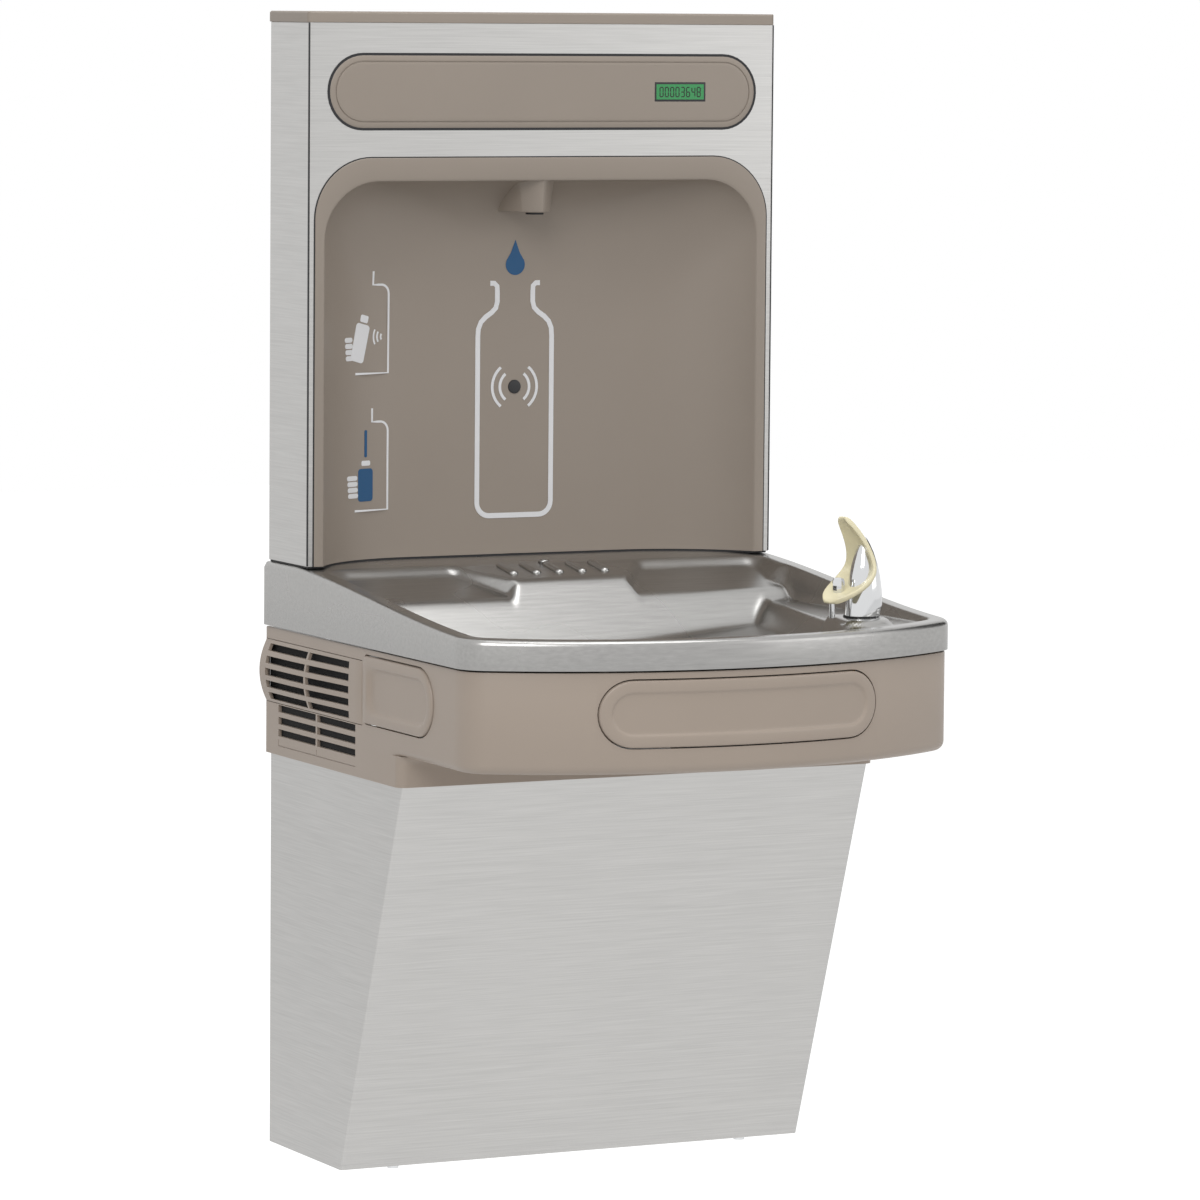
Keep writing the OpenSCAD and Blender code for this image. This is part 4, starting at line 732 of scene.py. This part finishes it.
# %% Cut the openings
cutter = bmesh.new()
loft(cutter, [[(x, y, BAR_Z + z) for x, z in stadium(262.4, 58.4, 0)] for y in (-500, -440)], capped=True)
groove = (HALF - APRON_IN - 0.7, HALF - APRON_IN + 2)
for side in (-1, 1):
    loft(cutter, [[(side * x, y, z) for y, z in pad_ring(-1.2, rear=5)] for x in THROUGH], capped=True)
    # The upper grille's pocket, and a shallow groove under the lower slots with two short uprights
    side_block(cutter, side, THROUGH, (-206, 394), (-1.5, 450))
    slots(cutter, "lower", side)
    side_block(cutter, side, groove, (-192, 356.6), (-27, 357.5))
    side_block(cutter, side, groove, (-28, 357.5), (-27, 362.5))
    side_block(cutter, side, groove, (-110.2, 357.5), (-109.2, 362.5))
bm = carve(shell, cutter)
make_piece("moulded_apron", bm, apron_abs, stands_for=("apron",), crisp=30)

# %% [markdown]
# ## Side grilles
# The air grilles are separate mouldings that snap into the apron. They bulge like a barrel,
# and the bulge dies away towards the push pad, with the slots cut through. The slots show black,
# and that black is painted shade: a black sheet behind them stands in for the shade inside the apron.

# %% Barrel grilles
GRILLE_FRONT = -205.5
for side, name in ((-1, "left"), (1, "right")):
    bm = bmesh.new()
    sections = []
    for y in (-0.5, -40, -70, -90, -110, -130, -150, -170, -190, GRILLE_FRONT):
        bulge = 0.4 + 6.6 * (1 - ease((-y - 60) / 145))
        skin = [(229 + bulge * (1 - t * t / 100), 422 + 2.74 * t) for t in range(10, -11, -1)]
        sections.append([(side * x, y, z) for x, z in skin + [(x - 3, z) for x, z in reversed(skin)]])
    loft(bm, sections, capped=True)
    cutter = bmesh.new()
    slots(cutter, "upper", side)
    bm = carve(bm, cutter)
    soften(bm, 0.5, lambda e: all(v.co.y < (GRILLE_FRONT + 0.1) * MM for v in e.verts), segments=2)
    make_piece(f"barrel_grille_{name}", bm, apron_abs, stands_for=(f"grille_{name}",),
               crisp=30)

bm = bmesh.new()
for side in (-1, 1):
    side_block(bm, side, (224.2, 225.7), (-207, 352), (-1, 452))
# Painted shade behind the slots: a matt black sheet without any gloss, standing in for the shade inside the
# hollow apron
slot_shade_paint = moulded("painted_slot_shade", "#0b0b0c", 0.9, grain=1.5, depth=0.4)
make_piece("grille_slot_shade", bm, slot_shade_paint)

# %% [markdown]
# ## Push bar and side pads
# A light push on any of the three opens the water. Each is a moulded cap with a raised border and a
# field sunk a little, so that fingers find it. The caps are lofted from inset outlines that
# are laid on the curved front, or on the flat side.

# %% Front push bar
def front_y(inset, x):
    """The curved front, drawn in by the inset."""
    return MIDDLE_Y - math.sqrt((ROUND - inset) ** 2 - x ** 2)


bm = bmesh.new()
# How far each ring lies inside the bar's outline, and how deep under the front
border = [(25, 8.9), (6, 8.85), (0, 8.8), (0, 2.3), (0.25, 1.5), (0.8, 1.0), (1.8, 0.8), (5, 0.75),
          (8.6, 0.8), (9.6, 1.0), (10.5, 1.6), (11.2, 2.2), (12.2, 2.45), (14, 2.5), (20, 2.47), (25, 2.44)]
loft(bm, [[(x, front_y(deep, x), BAR_Z + z) for x, z in stadium(260, 56, inset)] for inset, deep in border],
     capped=True)
make_piece("front_push_cap", bm, apron_abs, body="front_control", stands_for=("front_bar",))

# %% Side pads
# How far each ring lies inside the pad's outline, and how far from the station's middle
border = [(6, 222.95), (0, 223), (0, 229.3), (0.3, 230.1), (0.9, 230.7), (2, 231.1), (7, 231.3), (8.5, 231),
          (9.6, 230), (10.6, 228.7), (11.6, 228.1), (13, 227.9), (20, 227.85)]
for side, name in ((-1, "left"), (1, "right")):
    bm = bmesh.new()
    loft(bm, [[(side * x, y, z) for y, z in pad_ring(inset, 4 + max(0, inset - 5) * 2.2)]
              for inset, x in border], capped=True)
    make_piece(f"{name}_push_cap", bm, apron_abs, body=f"{name}_control",
               stands_for=(f"{name}_pad",))

# %% [markdown]
# ## The tower's sheets and cap
# The tower is folded from brushed sheet and closed by a moulded cap. A press brake leaves a
# small radius on each fold, so the sheets are copies of the CAD's with their sharp edges softened, and
# the lower panel gets the larger radius of its bend. Black strips between front and sides paint the shade in
# the joints.

# %% Sheets with folded edges
for name, width in (("tower_front", 0.35), ("tower_side_left", 0.5), ("tower_side_right", 0.5)):
    make_piece(f"{name}_sheet", soften(copied(name), width), sheet_steel, stands_for=(name,),
               crisp=9)
make_piece("moulded_cap", soften(copied("tower_cap"), 1.4), tower_abs,
           stands_for=("tower_cap",), crisp=9)


def is_front_fold(edge):
    """The lower panel's outer upright folds."""
    one, two = (v.co for v in edge.verts)
    return abs(one.z - two.z) > 0.2 and min(abs(one.x), abs(two.x)) > 0.2235 and max(one.y, two.y) < -0.12


bm = soften(copied("lower_panel"), 4.0, is_front_fold, segments=6)
make_piece("folded_lower_panel", bm, sheet_steel, stands_for=("lower_panel",), crisp=9)

# %% Painted shade in the joints beside the front sheet
# Black strips in the narrow gaps between the front sheet and the sides: painted shade of the seams
bm = bmesh.new()
for side in (-1, 1):
    side_block(bm, side, (226.35, 227.2), (-84.25, 520), (-82, 992.3))
make_piece("tower_joint_shade", bm, black_seal_and_shade)

# %% [markdown]
# ## The alcove
# The bottle stands in a dished moulding. Its flat flange lies proud on the front sheet, and from the
# flange's inner edge the sides and the ceiling sweep back on large radii to a nearly flat rear wall.
# Each section is an arch, so the dish is arches bridged from the flange to the middle of the rear wall.

# %% Sections of the dish
# Height of the ledge where the dish ends below, and half width and ceiling of the rear wall
LEDGE_Z, REAR_HALF, REAR_TOP = 519.6, 103.3, 795


def arch(half, top, radius, y, low=LEDGE_Z):
    """An arch from the left foot over the ceiling to the right foot."""
    radius = min(radius, half * 0.98)
    left = [(-half, low + (top - radius - low) * i / 12) for i in range(12)]
    turns = [math.radians(a) for a in range(0, 90, 6)]
    left += [(-half + radius * (1 - math.cos(a)), top - radius * (1 - math.sin(a))) for a in turns]
    crown = [(-(half - radius) * (1 - i / 10), top) for i in range(10)]
    path = left + crown
    return [(x, y, z) for x, z in path] + [(0, y, top)] + [(-x, y, z) for x, z in reversed(path)]


def side_reach(depth):
    """Half the dish's width at a depth behind the front."""
    return REAR_HALF + math.sqrt(max(0, 130 ** 2 - (155 - depth) ** 2))


def dish_section(depth):
    """Half width, ceiling height and corner radius of the dish at a depth."""
    ceiling = REAR_TOP + math.sqrt(max(0, 60 ** 2 - (85 - depth) ** 2))
    return side_reach(depth) - 0.4, ceiling - 0.3, 52 + 30 * ease((84 - depth) / 60)


def wall_y(x, z):
    """The dish's surface at x and z, found by halving the depth that it must lie in."""
    near, far = 84.0, 25.0
    for _ in range(24):
        depth = (near + far) / 2
        half, top, radius = dish_section(depth)
        across, up = abs(x) - (half - radius), z - (top - radius)
        corner = across > 0 and up > 0
        free = math.hypot(across, up) < radius if corner else abs(x) < half and z < top
        near, far = (depth, far) if free else (near, depth)
    return -near


print("rear wall at the sensor:", round(wall_y(0, 669), 1), "mm")

# %% Bridge the dish
sections = [arch(221, 875, 54, -83.3), arch(221, 875, 54, -84.4), arch(220.6, 874.6, 53.6, -84.8),
            arch(219.8, 873.8, 52.8, -84.88), arch(213.4, 856.6, 52, -84.92), arch(212.6, 855.7, 52, -84.7)]
for depth in (84.2, 83, 81, 78, 74, 69, 63, 57, 51, 45, 39.5, 34.5, 30.5, 27.5, 25.8, 25):
    sections.append(arch(*dish_section(depth), -depth))
for shrink in (0.8, 0.55, 0.3, 0.1, 0.001):
    sections.append(arch(REAR_HALF * shrink, LEDGE_Z + (REAR_TOP - LEDGE_Z) * shrink, 80 * shrink,
                         -24.9 - 0.1 * shrink))
bm = bmesh.new()
loops = loft(bm, sections, closed=False)
bmesh.ops.remove_doubles(bm, verts=list({v for e in loops[-1] for v in e.verts}), dist=1 * MM)
bmesh.ops.recalc_face_normals(bm, faces=bm.faces)
if sum(f.normal.y * f.calc_area() for f in bm.faces) > 0:
    bmesh.ops.reverse_faces(bm, faces=bm.faces)
DISH_WALL = 1.2
bmesh.ops.solidify(bm, geom=bm.faces[:], thickness=DISH_WALL * MM)
print("dish:", len(bm.faces), "faces")


# %% The nozzle's boss
# A half round column with a soft ridge, which flows into the ceiling
def boss(half, front, back, z):
    """Plan of the boss at one height."""
    turn = [i / 12 for i in range(-12, 13)]
    ridge = [(half * t, -66 - (front - 66) * (1 - abs(t) ** 1.35), z) for t in turn]
    return ridge + [(half + 8, -back, z), (-half - 8, -back, z)]


loft(bm, [boss(13.2, 78.6, 33, 825.9), boss(14.2, 79.7, 32.6, 826.6), boss(14.6, 80.2, 32, 828.5),
          boss(15.6, 81.2, 30, 842), boss(17.5, 82.2, 30, 851), boss(22, 83.6, 30, 855.5)], capped=True)
make_piece("dished_alcove", bm, tower_abs, stands_for=("alcove_liner",), outward=False,
           crisp=34)

# %% Painted shadow in the gap round the flange
# A thin black ring just outside the flange paints the shadow in the gap between flange and front sheet
bm = bmesh.new()
outer, inner = arch(222, 876, 55, -84.15), arch(220.4, 874.4, 53.4, -84.15)
loft(bm, [outer, inner], closed=False)
face_viewer(bm)
bmesh.ops.solidify(bm, geom=bm.faces[:], thickness=0.6 * MM)
make_piece("alcove_gap_shade", bm, black_seal_and_shade)

# %% [markdown]
# ## The display
# A moulded panel with half round ends covers the electronics. Its border slopes up to a flat field,
# and a small liquid crystal window counts the bottles filled. The count is a plain number, drawn
# with the seven strokes of such a display.

# %% Panel and window
DISPLAY_Z = 932.6
bm = bmesh.new()
border = [(0, -82.6), (0, -83.7), (0.5, -84.1), (1.3, -84.4), (4.7, -84.85), (5.2, -84.8),
          (5.4, -84.1), (6.2, -84.1), (6.4, -84.95), (6.9, -85.1), (9, -85.13), (20, -85.18)]
loft(bm, [[(x, y, DISPLAY_Z + z) for x, z in stadium(416, 64, inset)] for inset, y in border], capped=True)
make_piece("display_fascia", bm, tower_abs, stands_for=("display_panel",))

bm = bmesh.new()
SEAL_Y = -83.75
loft(bm, [[(x, SEAL_Y, DISPLAY_Z + z) for x, z in stadium(w, h, 0)] for w, h in ((419.4, 67.4), (415, 63))])
bmesh.ops.solidify(bm, geom=bm.faces[:], thickness=0.4 * MM)
make_piece("display_seal", bm, black_seal_and_shade, stands_for=("display_gasket",))

bm = bmesh.new()
block(bm, (107.3, -85.35, 923.9), (158.3, -81, 941.4))
soften(bm, 0.5, segments=2)
make_piece("window_frame", bm, black_box, stands_for=("display_window",))
# Display film: smooth polyester, green and a little glossy, with its strokes nearly black
lcd_green = moulded("backlit_lcd_film", "#2f9150", 0.25, grain=2.0, depth=0.02)
lcd_ink = moulded("lcd_segment_ink", "#05190c", 0.5, grain=2.0, depth=0.02)
bm = bmesh.new()
block(bm, (109.1, -85.42, 925.9), (156.4, -85.2, 939.4))
make_piece("window_film", bm, lcd_green)

# %% Count on the window
# Each stroke's place across and up a digit, and the strokes that are lit for the digits used
strokes = {"top": (0.5, 2), "middle": (0.5, 1), "bottom": (0.5, 0), "upper_left": (0, 1.5),
           "upper_right": (1, 1.5), "lower_left": (0, 0.5), "lower_right": (1, 0.5)}
lit = {0: "top bottom upper_left upper_right lower_left lower_right",
       3: "top middle bottom upper_right lower_right",
       4: "middle upper_left upper_right lower_right",
       6: "top middle bottom upper_left lower_left lower_right",
       8: "top middle bottom upper_left upper_right lower_left lower_right"}
DIGIT_X, DIGIT_Z, DIGIT_PITCH = 112.6, 928.4, 5.3
bm = bmesh.new()
for place, digit in enumerate((0, 0, 0, 0, 3, 6, 4, 8)):
    left = DIGIT_X + place * DIGIT_PITCH
    for stroke in lit[digit].split():
        across, up = strokes[stroke]
        x, z = left + across * 3.1, DIGIT_Z + up * 4.1
        wide, tall = (1.35, 0.48) if across == 0.5 else (0.48, 1.75)
        block(bm, (x - wide, -85.5, z - tall), (x + wide, -85.4, z + tall))
make_piece("window_count", bm, lcd_ink)

# %% Sensor's lens
SENSOR_Z = 668.98
dome = ((6.2, -24.6), (6.2, -25.4), (5.9, -25.8), (5.2, -25.95), (3, -26.1), (0.3, -26.15))
bm = bmesh.new()
loft(bm, [[(r * math.cos(math.radians(a)), y, SENSOR_Z + r * math.sin(math.radians(a)))
           for a in range(0, 360, 12)] for r, y in dome], capped=True)
make_piece("sensor_dome", bm, black_box, stands_for=("sensor_lens",))

# %% [markdown]
# ## The bubbler
# The bubbler's body is chromed brass: a short column that leans into a fin, lofted through oval
# sections. A soft rubber guard curls round the nozzle like a cupped hand, thick at its edge and
# hollow in its middle. It is a dished band run along a bent path and finished with a subdivision.

# %% Column and fin
# Each oval's height, its left and right ends, and half its depth
column = [(482.6, 146.8, 174, 13), (484, 145.9, 174.8, 13.6), (490, 146.2, 177, 14), (500, 147, 179, 14.2),
          (512, 148.2, 178.6, 13.8), (524, 149.6, 177, 12.6), (535, 152, 174.6, 10.8), (545, 155, 171, 8),
          (552, 158, 167.6, 5), (556.5, 160.8, 165, 2.4), (558, 162.4, 163.6, 0.7)]
bm = bmesh.new()
turns = [math.radians(t) for t in range(0, 360, 10)]
loft(bm, [[((a + b) / 2 + (b - a) / 2 * math.cos(t), BUBBLER_Y + half * math.sin(t), z) for t in turns]
          for z, a, b, half in column], capped=True)
make_piece("bubbler_fin", bm, chrome, stands_for=("bubbler_body",), crisp=60)

# %% Nozzle
NOZZLE_X = 138
tip = [(3, 508), (4.6, 510), (5.4, 514), (5.4, 520.5), (4.4, 523), (2.6, 523.4), (2.1, 522.4), (1.9, 519)]
bm = bmesh.new()
loft(bm, [[(NOZZLE_X + r * math.cos(math.radians(a)), BUBBLER_Y + r * math.sin(math.radians(a)), z)
           for a in range(0, 360, 45)] for r, z in tip], capped=True)
make_piece("bubbler_tip", bm, chrome, stands_for=("bubbler_nozzle",), crisp=25)

# %% Guard
# Points of the guard's bent path: x, z, half the band's width and how far its edges curl up
path = [(121, 503.5, 7, 0.5), (127, 505.5, 14, 1.5), (136, 508.5, 18.5, 2.6), (147, 512.5, 20.5, 3.6),
        (157, 518, 20.5, 4.4), (164.2, 526, 19, 4.6), (166.2, 535, 16.8, 4.4), (163.6, 545, 14.6, 3.8),
        (157.5, 555, 12.4, 3.0), (149.5, 564.5, 10.2, 2.2), (141.5, 572, 7.8, 1.4), (136, 576, 4.6, 0.6)]
# Half the band's thickness in its middle, and what its edges have more
GUARD_HALF, GUARD_EDGE = 1.6, 0.9
bm = bmesh.new()
rings = []
for i, (x, z, half, dish) in enumerate(path):
    before, after = path[max(i - 1, 0)], path[min(i + 1, len(path) - 1)]
    along = Vector((after[0] - before[0], 0, after[1] - before[1])).normalized()
    up = Vector((-along.z, 0, along.x))
    across = [t / 6 for t in range(-6, 7)]
    top = [Vector((x, BUBBLER_Y + half * t, z))
           + up * (dish * t * t * 1.6 + GUARD_HALF + GUARD_EDGE * abs(t)) for t in across]
    low = [Vector((x, BUBBLER_Y + half * t * 1.02, z))
           + up * (dish * t * t * 1.6 - GUARD_HALF - GUARD_EDGE * abs(t)) for t in reversed(across)]
    rings.append([tuple(p) for p in top + low])
loft(bm, rings, capped=True)
bmesh.ops.rotate(bm, verts=bm.verts, cent=(0.160, -0.380, 0),
                 matrix=Matrix.Rotation(math.radians(18), 3, "Z"))
guard = make_piece("cupped_guard", bm, guard_rubber, stands_for=("bubbler_guard",), crisp=180)
round_off = guard.modifiers.new("round_off", "SUBSURF")
round_off.levels = round_off.render_levels = 2

# %% [markdown]
# ## Printed marks
# The rear wall carries screen printed marks: a drop, the outline of a bottle round the sensor, and two
# small pictures of how it is used. Each mark is a ribbon or a patch laid on the wall's own curve.
# Screen ink is a few hundredths of a millimetre thick, and is drawn thicker here so that it stays
# clear of the wall.

# %% Ribbons and patches
# How far the ink's face stands in front of the wall, in millimetres
INK = 0.35


def on_wall(x, z):
    """A point in front of the rear wall, as far out as the ink's face."""
    return x, wall_y(x, z) - INK, z


def ribbon(bm, points, width, closed=False):
    """A printed line of that width through (x, z) points."""
    sides = ([], [])
    count = len(points)
    for i, (x, z) in enumerate(points):
        before = points[(i - 1) % count] if closed or i else points[i]
        after = points[(i + 1) % count] if closed or i < count - 1 else points[i]
        run = Vector((after[0] - before[0], after[1] - before[1])).normalized()
        for side, sign in zip(sides, (0.5, -0.5)):
            side.append(on_wall(x - run.y * width * sign, z + run.x * width * sign))
    loft(bm, sides, closed=closed)


def patch(bm, points):
    """A filled mark bounded by (x, z) points."""
    bmesh.ops.contextual_create(bm, geom=ring_of(bm, [on_wall(x, z) for x, z in points]))


def printed(name, bm, ink):
    """Gives the flat marks their ink layer."""
    bmesh.ops.recalc_face_normals(bm, faces=bm.faces)
    face_viewer(bm)
    bmesh.ops.solidify(bm, geom=bm.faces[:], thickness=INK * 0.6 * MM)
    make_piece(name, bm, ink, merge=0.000002)


def rounded(left, low, right, high, radius):
    """Closed outline of a rectangle with round corners."""
    corners = ((right - radius, high - radius), (left + radius, high - radius),
               (left + radius, low + radius), (right - radius, low + radius))
    return [point for i, corner in enumerate(corners)
            for point in arc(corner, radius, i * 90, (i + 1) * 90, 6)]


def drop(x, z, size):
    """A falling drop: a round below, drawn up to a point."""
    bowl = arc((x, z), size, -205, 25, 20)
    shoulder, point = size * 0.45, z + size * 2.35
    return bowl + [(x + shoulder, z + size * 1.15), (x, point), (x - shoulder, z + size * 1.15)]


def turned(points, x, z, angle):
    """The points turned about a place."""
    c, s = math.cos(math.radians(angle)), math.sin(math.radians(angle))
    return [(x + px * c - pz * s, z + px * s + pz * c) for px, pz in points]


# Inks: screen printed and cured, flat in colour with a low sheen
white_ink = moulded("white_screen_ink", "#e8e8ea", 0.5, grain=1.0, depth=0.05)
blue_ink = moulded("blue_screen_ink", "#0f4f7c", 0.5, grain=1.0, depth=0.05)
print("inks:", white_ink.name, blue_ink.name)

# %% White marks
white = bmesh.new()
neck = [(-24.5, 761.5), (-20.5, 761.5), (-17.8, 759), (-17.5, 754), (-17.5, 745), (-19, 739.5),
        (-23, 735.5), (-29, 731.5), (-33.5, 727), (-36, 721), (-36.5, 714)]
bottle = (neck + [(-36.5, 570)] + arc((-24.5, 566), 12, 180, 270, 8) + arc((24.5, 566), 12, 270, 360, 8)
          + [(36.5, 570)] + [(-x, z) for x, z in reversed(neck)])
ribbon(white, bottle, 4.6)
for radius in (14.5, 22):
    for start in (-52, 128):
        ribbon(white, arc((0, SENSOR_Z), radius, start, start + 104, 16), 2.6)
for x0, z0 in ((-150, 684), (-150, 563)):
    frame_top = [(x0 + 8, z0 + 90), (x0 + 8, z0 + 78), (x0 + 14, z0 + 78)]
    ribbon(white, frame_top + arc((x0 + 17, z0 + 70), 8, 80, 0, 5) + [(x0 + 25, z0), (x0 - 12, z0)], 2.0)
for radius in (5, 9, 13):
    ribbon(white, arc((-128, 716), radius, 150, 210, 8), 1.6)
# Upper picture: a tilted bottle held by four fingers. Lower picture: a bottle's cap, and four fingers.
patch(white, turned(rounded(-8, -20, 8, 14, 3), -156, 714, -14))
patch(white, turned(rounded(-4.5, 15.5, 4.5, 22, 1.5), -156, 714, -14))
for i in range(4):
    patch(white, rounded(-176 + i * 0.5, 712 - i * 5.4, -166 + i * 0.3, 716.4 - i * 5.4, 2.1))
patch(white, rounded(-154, 602.5, -144, 607, 1.5))
for i in range(4):
    patch(white, rounded(-172 + i * 0.5, 590 - i * 5.2, -159 + i * 0.3, 594.2 - i * 5.2, 2.0))
printed("white_marks", white, white_ink)

# %% Blue marks
blue = bmesh.new()
patch(blue, drop(0, 778, 9.4))
patch(blue, rounded(-158, 571, -141, 600, 3))
patch(blue, rounded(-150.6, 610, -147.6, 634, 1.2))
printed("blue_marks", blue, blue_ink)

# %% [markdown]
# ## The other CAD pieces
# The sheets, tubes and inner works that keep their CAD shape only need their finish. The frame's
# meshes are left as they are, and each gets the material of the real piece in its material slots.

# %% Finishes of the carried-over pieces
finishes = {
    black_seal_and_shade: ("tower_gasket", "bubbler_washer", "compressor_feet", "filler_nozzle"),
    zinc: ("tower_back", "back_frame", "base_tray", "wall_bracket", "front_bracket", "left_bracket",
           "right_bracket", "fan_shroud"),
    chrome: ("drain_strainer", "panel_screws", "bubbler_stem"),
    brass: ("bubbler_valve", "inlet_valve", "bubbler_nut", "drain_nut"),
    white_tube: ("filler_tube", "bubbler_tube", "drain_pipe", "filler_valve", "fan", "thermostat"),
    black_box: ("front_switch", "left_switch", "right_switch", "sensor_module", "display_module"),
    enamel: ("compressor", "fan_motor"),
    copper: ("drier",),
    aluminium: ("condenser",),
    sheet_steel: ("cold_tank",),
    foam_white: ("tank_foam",),
    board_green: ("control_board",),
    apron_abs: ("front_plunger", "left_plunger", "right_plunger"),
}
for finish, names in finishes.items():
    for name in names:
        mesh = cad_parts[name].data
        mesh.materials.clear()
        mesh.materials.append(finish)
print("finished:", sum(len(names) for names in finishes.values()), "CAD pieces")
